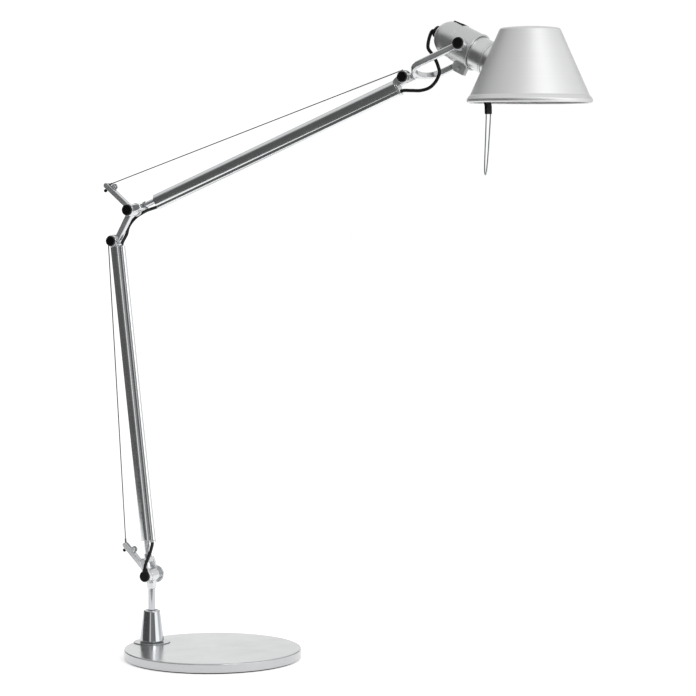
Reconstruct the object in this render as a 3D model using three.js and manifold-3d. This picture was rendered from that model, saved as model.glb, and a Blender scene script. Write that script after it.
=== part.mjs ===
// Architect desk lamp: disc base, swivelling post, two balanced arms with outside cables, fork and turning shade.
// Millimetres, +Z up. Origin: centre of the base disc on the table. The arms work in the XZ plane, +X forward.
import * as THREE from "three";
import { mergeVertices } from "three/addons/utils/BufferGeometryUtils.js";
import Module from "manifold-3d";

const wasm = await Module();
wasm.setup();

// ---------------------------------------------------------------- driving dimensions
const GAP = 0.3; // clearance between neighbouring pieces
const ROUND = 18; // facets of a turned piece
const FINE = 26; // facets of the head's larger turned pieces
const DISC = 44; // facets of the base and the shade
const SMALL = 8; // facets of pins and bores

const BASE_R = 100;
const BASE_H = 11.6;
const PAD_H = 1.2;
const COVER_WALL = 1.2;
const POST_X = -80.4;
const POST_R = 4;
const CONE_BOTTOM_R = 13.8;
const CONE_TOP_R = 9.4;
const CONE_H = 36;
const PLATE_R = 21;

const PIVOT_Z = 89.2; // height of the lower hinge
const LOWER_LEAN = 6.6; // degrees, back from vertical
const LOWER_TUBE_START = 39.6; // from the lower hinge, along the arm
const LOWER_TUBE_END = 377.5;
const UPPER_RISE = 22.4; // degrees above horizontal
const UPPER_TUBE_START = 33.5; // from the elbow hinge, along the arm
const UPPER_TUBE_END = 361.7;

const TUBE_A = 7.8; // half depth of the spring tube, in the plane of the arms
const TUBE_B = 6; // half thickness of the spring tube
const TUBE_WALL = 1.1;
const CHANNEL_R = 4; // lead channel that is drawn in one piece with the tube
const CHANNEL_OFF = 6.5;
const LOWER_TUBE_U = -0.8; // middle of the tube, sideways from the hinge line
const UPPER_TUBE_V = -2.9;

const PULLEY_R = 7;
// lower arm's own frame: sideways, along
const LOWER_PULLEY = [-3.8, LOWER_TUBE_END + PULLEY_R - 0.3];
const ELBOW = [24.7, LOWER_PULLEY[1] + 32.5];
const UPPER_PULLEY = [UPPER_TUBE_END + PULLEY_R + 5.4, 2.8]; // upper arm's own frame: along, up
const PULLEY_T = 3;
const CABLE_R = 0.6;

const LEVER_W = 6;
const LEVER_T = 6.2;
const BASE_LEVER_END = [-34.3, 32.1]; // from the lower hinge, X and Z
const ELBOW_LEVER_END = [-33.6, 27.5]; // from the elbow hinge, X and Z
const LEVER_ROOT_SHIFT = 2.2;
const WHEEL_ALONG = 34.5;
const WHEEL_OFF = 5.4;
const WHEEL_R = 3.4;

const HINGE_CAP_R = 6;
const PULLEY_CAP_R = 5.5;
const CAP_T = 2;
const CAP_RIM = 1; // bright rim round each cap
const CAP_PROUD = 1.4; // how far that rim stands off its leg
const BASE_DISC_R = 10;
const ELBOW_DISC_R = 7.6;
const PIN_R = 2.4;

const LEG_T = 4.2; // near leg of each hinge clevis
const FAR_LEG_T = 3;
const LEG_W = 7.4;
const BASE_HUB = [-8.6, 5.6]; // near and far face of the post's knuckle
const ELBOW_HUB = [-5, 3.2];

const FORK_S = UPPER_PULLEY[0] + 9.9; // where the fork starts, along the upper arm
const FORK_V = -0.4;
const FORK_ROLL = 12; // degrees, near side up
const FORK_LENGTH = 72; // swivel face to tilt axis
const PRONG_Y = 23;
const PRONG_T = 4.8;
const PRONG_H = 6.8;

const HEAD_TILT = 47.6; // degrees, lampholder below the fork's axis
const HOUSING_R = 19.2;
const DOME_X = -26;
const COLLAR_R = 20;
const COLLAR_X = [-16, 10.6];
const CUP_R = 18.2;
const SHADE_WALL_X = 32; // where the lampholder's axis meets the shade's side

const SHADE_TURN = 12.2; // degrees about the lampholder, so that the shade hangs plumb
const SHADE_SLOPE = 24.2; // degrees, side of the shade from its axis
const SHADE_WALL = 1;
const SHADE_OFF = 82.7; // tilt axis to the shade's own axis, along the lampholder
const RIM_R = 66.2;
const RIM_Z = -21.3; // widest part of the rim, in the shade's frame
const SHADE_TOP_Z = 55.6;
const CONE_Z = -15.9; // where the straight side starts
const CONE_R = 62.5;
const CORNER_Z = 51;

const LEAD_R = 1.85;
const HANDLE_R = 0.7;
const HANDLE_RHO = 52; // handle to the shade's axis
const HANDLE_DROP = 98;

// ---------------------------------------------------------------- materials
const ALUMINIUM = { color: 0xc9cbcc, roughness: 0.35, metalness: 1 };
const POLISHED = { color: 0xdadcde, roughness: 0.12, metalness: 1 };
const PAINTED = { color: 0xb9bbbc, roughness: 0.45, metalness: 0.6 };
const STEEL = { color: 0x8f9396, roughness: 0.3, metalness: 1 };
const BLACK = { color: 0x161616, roughness: 0.5, metalness: 0 };
const RUBBER = { color: 0x101010, roughness: 0.7, metalness: 0 };
const CERAMIC = { color: 0xece8df, roughness: 0.4, metalness: 0 };
const GLASS = { color: 0xf4f2ec, roughness: 0.3, metalness: 0 };
const BRASS = { color: 0xb08d4f, roughness: 0.35, metalness: 1 };

// ---------------------------------------------------------------- frames
const rad = (degrees) => (degrees * Math.PI) / 180;

function frame(xAxis, yAxis, zAxis, origin) {
  const m = new THREE.Matrix4().makeBasis(xAxis, yAxis, zAxis);
  return m.setPosition(origin);
}

const v3 = (x, y, z) => new THREE.Vector3(x, y, z);
const turnAbout = (axis, degrees) => new THREE.Matrix4().makeRotationAxis(axis, rad(degrees));
const moveBy = (x, y, z) => new THREE.Matrix4().makeTranslation(x, y, z);
const chain = (...ms) => ms.reduce((a, b) => a.clone().multiply(b), new THREE.Matrix4());
const X = v3(1, 0, 0);
const Y = v3(0, 1, 0);

const POST = moveBy(POST_X, 0, PIVOT_Z);
// x sideways towards the front, z along the arm
const LOWER = chain(POST, turnAbout(Y, -LOWER_LEAN));
const ELBOW_POINT = v3(ELBOW[0], 0, ELBOW[1]).applyMatrix4(LOWER);
// x along the arm, z up
const UPPER = chain(moveBy(ELBOW_POINT.x, 0, ELBOW_POINT.z), turnAbout(Y, -UPPER_RISE));
const ELBOW_WORLD = moveBy(ELBOW_POINT.x, 0, ELBOW_POINT.z);
const FORK = chain(UPPER, moveBy(FORK_S, 0, FORK_V), turnAbout(X, -FORK_ROLL));
// x along the lampholder, y along the tilt axis
const HEAD = chain(FORK, moveBy(FORK_LENGTH, 0, 0), turnAbout(Y, HEAD_TILT));
// z up the shade's own axis
const SHADE = chain(HEAD, moveBy(SHADE_OFF, 0, 0), turnAbout(X, SHADE_TURN), turnAbout(Y, -SHADE_SLOPE));
const IDENTITY = new THREE.Matrix4();

// ---------------------------------------------------------------- solids
function solid(geometry, matrix = IDENTITY) {
  const g = geometry.clone();
  g.deleteAttribute("normal");
  g.deleteAttribute("uv");
  g.applyMatrix4(matrix);
  const merged = mergeVertices(g, 1e-3);
  return new wasm.Manifold(
    new wasm.Mesh({
      numProp: 3,
      vertProperties: merged.attributes.position.array,
      triVerts: new Uint32Array(merged.index.array),
    }),
  );
}

function geometryOf(manifold) {
  const mesh = manifold.getMesh();
  const g = new THREE.BufferGeometry();
  g.setAttribute("position", new THREE.BufferAttribute(new Float32Array(mesh.vertProperties), 3));
  g.setIndex(new THREE.BufferAttribute(new Uint32Array(mesh.triVerts), 1));
  return g;
}

const join = (...parts) => parts.reduce((a, b) => a.add(b));
const cut = (body, ...tools) => tools.reduce((a, b) => a.subtract(b), body);

// A turned piece: [radius, height] pairs from the axis round to the axis, about local z.
function turned(pairs, facets = ROUND) {
  return new THREE.LatheGeometry(
    pairs.map(([r, h]) => new THREE.Vector2(r, h)),
    facets,
  ).rotateX(Math.PI / 2);
}

const ALONG_Z = IDENTITY;
const ALONG_Y = new THREE.Matrix4().makeBasis(v3(0, 0, 1), v3(1, 0, 0), v3(0, 1, 0));
const ALONG_X = new THREE.Matrix4().makeBasis(v3(0, 1, 0), v3(0, 0, 1), v3(1, 0, 0));

// A round bar from height a to height b along one of the three directions, at an offset.
function bar(direction, r, a, b, at = [0, 0, 0], facets = ROUND) {
  const g = turned([[0, a], [r, a], [r, b], [0, b]], facets);
  return solid(g, chain(moveBy(...at), direction));
}

function box(x0, x1, y0, y1, z0, z1) {
  const g = new THREE.BoxGeometry(x1 - x0, y1 - y0, z1 - z0);
  return solid(g, moveBy((x0 + x1) / 2, (y0 + y1) / 2, (z0 + z1) / 2));
}

// An ellipse swept along z.
function oval(a, b, z0, z1, u = 0, facets = 16) {
  const shape = new THREE.Shape();
  shape.absellipse(u, 0, a, b, 0, Math.PI * 2);
  const g = new THREE.ExtrudeGeometry(shape, {
    depth: z1 - z0,
    bevelEnabled: false,
    curveSegments: facets,
  });
  return solid(g, moveBy(0, 0, z0));
}

// A bar with round ends in the XZ plane from p to q, between two Y faces.
function link(p, q, width, y0, y1) {
  const length = Math.hypot(q[0] - p[0], q[1] - p[1]);
  const r = width / 2;
  const shape = new THREE.Shape();
  shape.moveTo(0, -r);
  shape.lineTo(length, -r);
  shape.absarc(length, 0, r, -Math.PI / 2, Math.PI / 2);
  shape.lineTo(0, r);
  shape.absarc(0, 0, r, Math.PI / 2, Math.PI * 1.5);
  const edge = 0.5;
  const g = new THREE.ExtrudeGeometry(shape, {
    depth: y1 - y0 - 2 * edge,
    bevelEnabled: true,
    bevelThickness: edge,
    bevelSize: edge,
    bevelOffset: -edge,
    bevelSegments: 1,
    curveSegments: 5,
  });
  const along = v3((q[0] - p[0]) / length, 0, (q[1] - p[1]) / length);
  const across = v3(0, 0, 1).multiplyScalar(along.x).add(v3(-along.z, 0, 0));
  return solid(g, chain(frame(along, across, v3(0, -1, 0), v3(p[0], y1, p[1])), moveBy(0, 0, edge)));
}

// A round wire or lead through points.
function wire(points, r, steps, sides = 8) {
  const path = new THREE.CatmullRomCurve3(points, false, "centripetal");
  const shape = new THREE.Shape();
  for (let i = 0; i < sides; i++) {
    const a = (2 * Math.PI * i) / sides;
    if (i === 0) shape.moveTo(r, 0);
    else shape.lineTo(r * Math.cos(a), r * Math.sin(a));
  }
  return new THREE.ExtrudeGeometry(shape, { steps, bevelEnabled: false, extrudePath: path });
}

const group = new THREE.Group();

function piece(name, body, matrix, finish) {
  const g = body.isBufferGeometry ? body : geometryOf(body);
  const mesh = new THREE.Mesh(g.clone().applyMatrix4(matrix), new THREE.MeshStandardMaterial(finish));
  mesh.name = name;
  group.add(mesh);
}

// ---------------------------------------------------------------- base
const coverTop = BASE_H;
piece(
  "base_cover",
  turned(
    [
      [0, coverTop],
      [0, coverTop - COVER_WALL],
      [BASE_R - COVER_WALL - 1, coverTop - COVER_WALL],
      [BASE_R - COVER_WALL, coverTop - COVER_WALL - 1],
      [BASE_R - COVER_WALL, PAD_H + GAP],
      [BASE_R - 0.5, PAD_H + GAP],
      [BASE_R, PAD_H + GAP + 0.5],
      [BASE_R, coverTop - 1.4],
      [BASE_R - 0.4, coverTop - 0.4],
      [BASE_R - 1.4, coverTop],
      [0, coverTop],
    ],
    DISC,
  ),
  IDENTITY,
  ALUMINIUM,
);
const WEIGHT_TOP = BASE_H - COVER_WALL - GAP;
const WEIGHT_BOTTOM = PAD_H + GAP;
const postHole = bar(ALONG_Z, POST_R + GAP, WEIGHT_BOTTOM + 1.5, BASE_H + 5, [POST_X, 0, 0]);
piece(
  "base_weight",
  cut(
    bar(ALONG_Z, BASE_R - COVER_WALL - 1.4, WEIGHT_BOTTOM, WEIGHT_TOP, [0, 0, 0], DISC),
    postHole,
  ),
  IDENTITY,
  STEEL,
);
piece("foot_pad", bar(ALONG_Z, BASE_R - 2.5, 0, PAD_H, [0, 0, 0], DISC), IDENTITY, RUBBER);
const coverMesh = group.getObjectByName("base_cover");
coverMesh.geometry = geometryOf(cut(solid(coverMesh.geometry), postHole));

const PLATE_T = 0.6;
const plateBottom = BASE_H + GAP;
const coneBottom = plateBottom + PLATE_T + GAP;
const postBore = POST_R + GAP;
piece(
  "socket_plate",
  turned([
    [postBore, plateBottom],
    [PLATE_R, plateBottom],
    [PLATE_R - 0.5, plateBottom + PLATE_T],
    [postBore, plateBottom + PLATE_T],
    [postBore, plateBottom],
  ]),
  moveBy(POST_X, 0, 0),
  ALUMINIUM,
);
const coneTop = coneBottom + CONE_H;
piece(
  "socket_cone",
  turned([
    [postBore, coneBottom],
    [CONE_BOTTOM_R - 1.2, coneBottom],
    [CONE_BOTTOM_R, coneBottom + 1.4],
    [CONE_TOP_R + 0.2, coneTop - 1.6],
    [CONE_TOP_R - 0.8, coneTop],
    [CONE_TOP_R - 2.4, coneTop],
    [CONE_TOP_R - 3, coneTop - 0.8],
    [postBore, coneTop - 0.8],
    [postBore, coneBottom],
  ]),
  moveBy(POST_X, 0, 0),
  POLISHED,
);

// ---------------------------------------------------------------- post, in a frame at the lower hinge
const POST_TOP = -8.4;
const postFloor = WEIGHT_BOTTOM + 1.5 + GAP - PIVOT_Z;
piece("support_post", bar(ALONG_Z, POST_R, postFloor, POST_TOP, [0, 0, 0]), POST, POLISHED);

// Two cheeks and a slot for the small wheel, and a slot for the cable's eye, on a lever from p to q.
function leverOf(p, q) {
  const dx = q[0] - p[0];
  const dz = q[1] - p[1];
  const length = Math.hypot(dx, dz);
  const ux = dx / length;
  const uz = dz / length;
  const wheel = [p[0] + ux * WHEEL_ALONG + uz * WHEEL_OFF, p[1] + uz * WHEEL_ALONG - ux * WHEEL_OFF];
  const body = link(p, q, LEVER_W, -LEVER_T / 2, LEVER_T / 2);
  const cheeks = bar(ALONG_Y, WHEEL_R - 0.4, -LEVER_T / 2 + 0.4, LEVER_T / 2 - 0.4, [wheel[0], 0, wheel[1]]);
  const slot = bar(ALONG_Y, WHEEL_R + 1.2, -1.6, 1.6, [wheel[0], 0, wheel[1]]);
  const eyeSlot = solid(
    new THREE.BoxGeometry(13, 2.6, LEVER_W + 2),
    chain(
      frame(v3(ux, 0, uz), v3(0, 1, 0), v3(-uz, 0, ux), v3(q[0], 0, q[1])),
      moveBy(1.5, 0, 0),
    ),
  );
  const wheelPin = bar(ALONG_Y, 1, -LEVER_T / 2 + 0.4, LEVER_T / 2 - 0.4, [wheel[0], 0, wheel[1]], SMALL);
  const eyePin = bar(ALONG_Y, 1, -LEVER_T / 2 + 0.4, LEVER_T / 2 - 0.4, [q[0], 0, q[1]], SMALL);
  return { body: join(cut(join(body, cheeks), slot, eyeSlot), wheelPin, eyePin), wheel, end: q };
}

function wheelAt(at) {
  return cut(
    bar(ALONG_Y, WHEEL_R, -1.2, 1.2, [at[0], 0, at[1]], SMALL + 4),
    bar(ALONG_Y, 1 + GAP, -2, 2, [at[0], 0, at[1]], SMALL),
  );
}

const STOP_R = 2;
const STOP_AT = [-1.9, -5.9];
function stopAt(end) {
  return solid(new THREE.SphereGeometry(STOP_R, 12, 7), moveBy(end[0] + STOP_AT[0], 0, end[1] + STOP_AT[1]));
}

const baseLever = leverOf([-LEVER_ROOT_SHIFT, 0], BASE_LEVER_END);
const pinHole = (at = [0, 0]) => bar(ALONG_Y, PIN_R + GAP, -40, 40, [at[0], 0, at[1]], SMALL + 4);
const NECK_R = POST_R + 1.5;
const neck = solid(turned([[0, -15.5], [NECK_R - 0.5, -15.5], [NECK_R, -10], [NECK_R, 0], [0, 0]]));
const knuckle = cut(
  join(
    bar(ALONG_Y, 7.4, BASE_HUB[0], BASE_HUB[1]),
    neck,
    baseLever.body,
  ),
  pinHole(),
  bar(ALONG_Z, POST_R + GAP, -20, POST_TOP + GAP, [0, 0, 0]),
);
piece("base_knuckle", knuckle, POST, POLISHED);
piece("base_lever_wheel", wheelAt(baseLever.wheel), POST, STEEL);
piece("base_cable_stop", stopAt(BASE_LEVER_END), POST, BLACK);

// ---------------------------------------------------------------- hinge hardware shared by both hinges
function frictionScrew(farFace, nearFace, r) {
  const y0 = farFace + GAP;
  const head = solid(
    turned([[0, 0], [r, 0], [r, 2], [r - 1, 3.1], [r - 4, 4], [0, 4.3]]),
    chain(moveBy(0, y0, 0), ALONG_Y),
  );
  const slot = box(-r - 1, r + 1, y0 + 3, y0 + 6, -0.6, 0.6);
  return join(cut(head, slot), bar(ALONG_Y, PIN_R, nearFace, y0 + 0.5, [0, 0, 0], SMALL + 4));
}

function cap(r, face, away = -1) {
  const t = CAP_T;
  const profile = [[0, 0], [r, 0], [r, t - 0.6], [r - 0.5, t], [r - 1.1, t], [r - 1.4, t - 0.3], [0, t - 0.3]];
  const outward = away < 0 ? chain(ALONG_Y, turnAbout(X, 180)) : ALONG_Y;
  return solid(turned(profile), chain(moveBy(0, face + away * GAP, 0), outward));
}

// A clevis: near leg, far leg, shoulder and stem, with the arm along local z.
function clevis(hub, stemR, shoulder, stemEnd, shift) {
  const near = hub[0] - GAP;
  const far = hub[1] + GAP;
  const legs = join(
    link([0, 0], [shift, shoulder - 1.2], LEG_W, near - LEG_T, near),
    link([0, 0], [shift, shoulder - 1.2], LEG_W, far, far + FAR_LEG_T),
    bar(ALONG_Y, HINGE_CAP_R + CAP_RIM, near - LEG_T - CAP_PROUD, near, [0, 0, 0]),
    bar(ALONG_Y, HINGE_CAP_R + 0.4, far, far + FAR_LEG_T, [0, 0, 0]),
  );
  const bridge = box(shift - 2.8, shift + 2.8, near - LEG_T, far + FAR_LEG_T, shoulder - 3.2, shoulder + 2.6);
  const stem = bar(ALONG_Z, stemR, shoulder, stemEnd, [shift, 0, 0], SMALL + 4);
  return { body: join(legs, bridge, stem), near: near - LEG_T - CAP_PROUD, far: far + FAR_LEG_T };
}

// ---------------------------------------------------------------- arm tubes, extruded along local z, channel towards +x
function armTube(z0, z1) {
  const outside = join(oval(TUBE_A, TUBE_B, z0, z1), oval(CHANNEL_R, CHANNEL_R, z0, z1, CHANNEL_OFF, 12));
  const channelWall = oval(CHANNEL_R, CHANNEL_R, z0 - 2, z1 + 2, CHANNEL_OFF, 12);
  const spring = cut(oval(TUBE_A - TUBE_WALL, TUBE_B - TUBE_WALL, z0 - 1, z1 + 1), channelWall);
  const channel = oval(CHANNEL_R - 0.9, CHANNEL_R - 0.9, z0 - 1, z1 + 1, CHANNEL_OFF, 10);
  return cut(outside, spring, channel);
}

// The part of the spring space that a plug fills, with clearance.
function plug(z0, z1) {
  return cut(
    oval(TUBE_A - TUBE_WALL - GAP, TUBE_B - TUBE_WALL - GAP, z0, z1),
    oval(CHANNEL_R + GAP, CHANNEL_R + GAP, z0 - 1, z1 + 1, CHANNEL_OFF, 12),
  );
}

// The end ring of the lead channel, and the room that its neighbours leave for it.
const RING_R = CHANNEL_R + 0.4;
function channelRing(z0, z1) {
  return cut(
    bar(ALONG_Z, RING_R, z0, z1, [CHANNEL_OFF, 0, 0], SMALL + 4),
    bar(ALONG_Z, LEAD_R + GAP, z0 - 1, z1 + 1, [CHANNEL_OFF, 0, 0], SMALL),
  );
}
const ringRoom = (z0, z1, shift = 0) => bar(ALONG_Z, RING_R + GAP, z0, z1, [CHANNEL_OFF + shift, 0, 0], SMALL + 4);

const SPRING_X = -1.6; // the spring sits beside the channel
function spring(z0, z1, turns, hookEnd, coilR = 2.9, r = 0.7) {
  const points = [v3(SPRING_X, 0, hookEnd), v3(SPRING_X, 0, (hookEnd + z1) / 2)];
  const steps = turns * 6;
  for (let i = 0; i <= steps; i++) {
    const a = (2 * Math.PI * i) / 6;
    points.push(v3(SPRING_X + coilR * Math.cos(a), coilR * Math.sin(a), z1 + ((z0 - z1) * i) / steps));
  }
  return wire(points, r, steps + 3, 4);
}

// ---------------------------------------------------------------- lower arm
const LOWER_TUBE = chain(LOWER, moveBy(LOWER_TUBE_U, 0, 0));
piece("lower_tube", armTube(LOWER_TUBE_START, LOWER_TUBE_END), LOWER_TUBE, POLISHED);
const FOOT_SHOULDER = 18;
const FOOT_U = LOWER_TUBE_U - 1.2; // the stem keeps clear of the channel
const FOOT_NECK_R = 2.4; // stem under its lock nut
const lowerFoot = clevis(BASE_HUB, 3.2, FOOT_SHOULDER, LOWER_TUBE_START + 1, FOOT_U);
const footPlug = solid(geometryOf(plug(LOWER_TUBE_START + 0.5, LOWER_TUBE_START + 12)), moveBy(LOWER_TUBE_U, 0, 0));
const ringSpace = bar(ALONG_Z, FOOT_NECK_R, 20.5, 24.6, [FOOT_U, 0, 0], SMALL + 4);
const ringCut = cut(bar(ALONG_Z, 8, 20.5, 24.6, [FOOT_U, 0, 0], SMALL + 4), ringSpace);
const footRoom = ringRoom(LOWER_TUBE_START - 3, LOWER_TUBE_START + 2, LOWER_TUBE_U);
piece("lower_foot", cut(join(lowerFoot.body, footPlug), pinHole(), ringCut, footRoom), LOWER, POLISHED);

function nut(r, z0, z1, bore) {
  return cut(
    solid(turned([[0, z0], [r - 0.6, z0], [r, z0 + 0.6], [r, z1 - 0.6], [r - 0.6, z1], [0, z1]], SMALL + 4)),
    bar(ALONG_Z, bore, z0 - 1, z1 + 1, [0, 0, 0], SMALL + 4),
  );
}

const lockNut = nut(4.1, 20.8, 24.3, FOOT_NECK_R + GAP);
piece("lower_foot_nut", lockNut, chain(LOWER, moveBy(FOOT_U, 0, 0)), STEEL);
piece("lower_spring", spring(150, 300, 9, LOWER_TUBE_END - 11.5), LOWER_TUBE, STEEL);
piece("lower_channel_ring", channelRing(LOWER_TUBE_START - GAP - 2, LOWER_TUBE_START - GAP), LOWER_TUBE, ALUMINIUM);
piece("base_friction_screw", frictionScrew(lowerFoot.far, lowerFoot.near + 0.2, BASE_DISC_R), LOWER, POLISHED);
piece("base_cap", cap(HINGE_CAP_R, lowerFoot.near), LOWER, BLACK);
const ENTRY = [3, -17.4]; // where the lead goes into the lower hinge, x and Y
const glandBore = bar(ALONG_Z, LEAD_R + GAP, 7, 20, [ENTRY[0], ENTRY[1], 0], SMALL);
piece(
  "lead_gland",
  cut(
    bar(ALONG_Z, LEAD_R + 1.1, 3, 9.4, [ENTRY[0], ENTRY[1], 0], SMALL + 4),
    box(-20, 20, lowerFoot.near - GAP, 20, -20, 20),
    bar(ALONG_Y, HINGE_CAP_R + GAP, -40, 0, [0, 0, 0]),
    glandBore,
  ),
  LOWER,
  RUBBER,
);

const CHEEK_Y = 5.6; // outer face of a pulley's cheeks

// Housing that plugs into a tube and carries a pulley between two cheeks, along local z.
function pulleyHousing(tubeEnd, centre, top) {
  const flange = cut(
    oval(TUBE_A - 0.3, TUBE_B - 0.2, tubeEnd + GAP, tubeEnd + 2.4),
    ringRoom(tubeEnd - 1, tubeEnd + 4),
  );
  const block = link([centre[0] * 0.55, tubeEnd - 2], [centre[0], centre[1]], 9.6, -CHEEK_Y, CHEEK_Y);
  const rimR = PULLEY_CAP_R + CAP_RIM;
  const rim = bar(ALONG_Y, rimR, -CHEEK_Y - CAP_PROUD, -PULLEY_T / 2 - 0.5, [centre[0], 0, centre[1]]);
  const clipped = cut(join(block, top, rim), box(-30, 30, -10, 10, tubeEnd - 20, tubeEnd + GAP));
  const slot = join(
    bar(ALONG_Y, PULLEY_R + 0.8, -PULLEY_T / 2 - 0.5, PULLEY_T / 2 + 0.5, [centre[0], 0, centre[1]]),
    box(-2.6, 2.6, -PULLEY_T / 2 - 0.5, PULLEY_T / 2 + 0.5, tubeEnd - 14, centre[1] - 2),
    box(centre[0] - 9, 1, -PULLEY_T / 2 - 0.5, PULLEY_T / 2 + 0.5, tubeEnd, centre[1]),
  );
  const end = cut(plug(tubeEnd - 12, tubeEnd + 0.5), ringRoom(tubeEnd - 1, tubeEnd + 4));
  return { body: join(end, flange, clipped), slot };
}

function pulleyAt(at) {
  const t = PULLEY_T / 2;
  const groove = turned(
    [
      [1.8 + GAP, -t],
      [PULLEY_R, -t],
      [PULLEY_R - 1.1, -0.5],
      [PULLEY_R - 1.1, 0.5],
      [PULLEY_R, t],
      [1.8 + GAP, t],
      [1.8 + GAP, -t],
    ],
    ROUND,
  );
  return solid(groove, chain(moveBy(at[0], 0, at[1]), ALONG_Y));
}

function pulleyBolt() {
  const head = solid(
    turned([[0, 0], [5.4, 0], [5.4, 1.4], [4.4, 2.2], [0, 2.2]]),
    chain(moveBy(0, CHEEK_Y + GAP, 0), ALONG_Y),
  );
  return join(head, bar(ALONG_Y, 1.8, -5.5, CHEEK_Y + GAP + 0.4, [0, 0, 0], SMALL));
}

const boltHole = (at) => bar(ALONG_Y, 1.8 + GAP, -20, 20, [at[0], 0, at[1]], SMALL);
const lowerPulleyLocal = [LOWER_PULLEY[0] - LOWER_TUBE_U, LOWER_PULLEY[1]];
const elbowLocal = [ELBOW[0] - LOWER_TUBE_U, ELBOW[1]];

// The lever at the elbow, given from the hinge in X and Z, in the lower arm's frame.
const lean = rad(LOWER_LEAN);
const elbowLeverEnd = [
  elbowLocal[0] + ELBOW_LEVER_END[0] * Math.cos(lean) + ELBOW_LEVER_END[1] * Math.sin(lean),
  elbowLocal[1] - ELBOW_LEVER_END[0] * Math.sin(lean) + ELBOW_LEVER_END[1] * Math.cos(lean),
];
const elbowLever = leverOf(elbowLocal, elbowLeverEnd);
const linkStart = [lowerPulleyLocal[0] + 5.2, lowerPulleyLocal[1] + 1];
const elbowCasting = join(
  link(linkStart, elbowLocal, LEVER_W, -3.3, 3.3),
  bar(ALONG_Y, HINGE_CAP_R + 0.8, ELBOW_HUB[0], ELBOW_HUB[1], [elbowLocal[0], 0, elbowLocal[1]]),
  elbowLever.body,
  link([0.2, LOWER_TUBE_END + 2.5], linkStart, 5, -3.3, 3.3),
);
const elbowHousing = pulleyHousing(LOWER_TUBE_END, lowerPulleyLocal, elbowCasting);
piece(
  "elbow_bracket",
  cut(elbowHousing.body, elbowHousing.slot, boltHole(lowerPulleyLocal), pinHole(elbowLocal)),
  LOWER_TUBE,
  POLISHED,
);
const LOWER_PULLEY_FRAME = chain(LOWER_TUBE, moveBy(lowerPulleyLocal[0], 0, lowerPulleyLocal[1]));
piece("lower_pulley", pulleyAt([0, 0]), LOWER_PULLEY_FRAME, STEEL);
piece("lower_pulley_bolt", pulleyBolt(), LOWER_PULLEY_FRAME, POLISHED);
piece("lower_pulley_cap", cap(PULLEY_CAP_R, -CHEEK_Y - CAP_PROUD), LOWER_PULLEY_FRAME, BLACK);
piece("elbow_lever_wheel", wheelAt(elbowLever.wheel), LOWER_TUBE, STEEL);
piece("elbow_cable_stop", stopAt(ELBOW_LEVER_END), ELBOW_WORLD, BLACK);

// ---------------------------------------------------------------- upper arm
// Local z along the arm and local x down, so that the channel is underneath.
const UPPER_ALONG = chain(UPPER, turnAbout(Y, 90));
const UPPER_TUBE = chain(UPPER, moveBy(0, 0, UPPER_TUBE_V), turnAbout(Y, 90));
piece("upper_tube", armTube(UPPER_TUBE_START, UPPER_TUBE_END), UPPER_TUBE, POLISHED);
const SHOULDER = 14;
const upperFoot = clevis(ELBOW_HUB, 3.2, SHOULDER, UPPER_TUBE_START + 1, -UPPER_TUBE_V - 1.2);
const upperPlug = solid(
  geometryOf(join(plug(UPPER_TUBE_START + 0.5, UPPER_TUBE_START + 12))),
  moveBy(-UPPER_TUBE_V, 0, 0),
);
piece("upper_foot", cut(join(upperFoot.body, upperPlug), pinHole()), UPPER_ALONG, POLISHED);
piece(
  "upper_foot_ring",
  nut(4.4, SHOULDER + 2.6 + GAP, SHOULDER + 5.4, 3.2 + GAP),
  chain(UPPER_ALONG, moveBy(-UPPER_TUBE_V - 1.2, 0, 0)),
  STEEL,
);
piece("upper_spring", spring(120, 270, 9, UPPER_TUBE_END - 11.7), UPPER_TUBE, STEEL);
piece("elbow_friction_screw", frictionScrew(upperFoot.far, upperFoot.near + 0.2, ELBOW_DISC_R), UPPER_ALONG, POLISHED);
piece("elbow_cap", cap(HINGE_CAP_R, upperFoot.near), UPPER_ALONG, BLACK);

const upperPulleyLocal = [UPPER_TUBE_V - UPPER_PULLEY[1], UPPER_PULLEY[0]];
const COLLAR_END = FORK_S - GAP;
const forkLocal = UPPER_TUBE_V - FORK_V;
const nose = join(
  link([-2.8, UPPER_TUBE_END + 3], [forkLocal - 0.8, COLLAR_END - 4], 8, -5.6, 5.6),
  bar(ALONG_Z, 4.6, COLLAR_END - 3, COLLAR_END, [forkLocal, 0, 0]),
);
const endHousing = pulleyHousing(UPPER_TUBE_END, upperPulleyLocal, nose);
const STEM_R = 1.8;
const STEM_IN = 1.8;
piece(
  "upper_end_fitting",
  cut(
    endHousing.body,
    endHousing.slot,
    boltHole(upperPulleyLocal),
    bar(ALONG_Z, STEM_R + GAP, COLLAR_END - STEM_IN - GAP, COLLAR_END + 5, [forkLocal, 0, 0], SMALL),
  ),
  UPPER_TUBE,
  POLISHED,
);
const UPPER_PULLEY_FRAME = chain(UPPER, moveBy(UPPER_PULLEY[0], 0, UPPER_PULLEY[1]));
piece("upper_pulley", pulleyAt([0, 0]), UPPER_PULLEY_FRAME, STEEL);
piece("upper_pulley_bolt", pulleyBolt(), UPPER_PULLEY_FRAME, POLISHED);
piece("upper_pulley_cap", cap(PULLEY_CAP_R, -CHEEK_Y - CAP_PROUD), UPPER_PULLEY_FRAME, BLACK);
piece("upper_channel_ring", channelRing(UPPER_TUBE_END + GAP, UPPER_TUBE_END + GAP + 2), UPPER_TUBE, ALUMINIUM);

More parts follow.
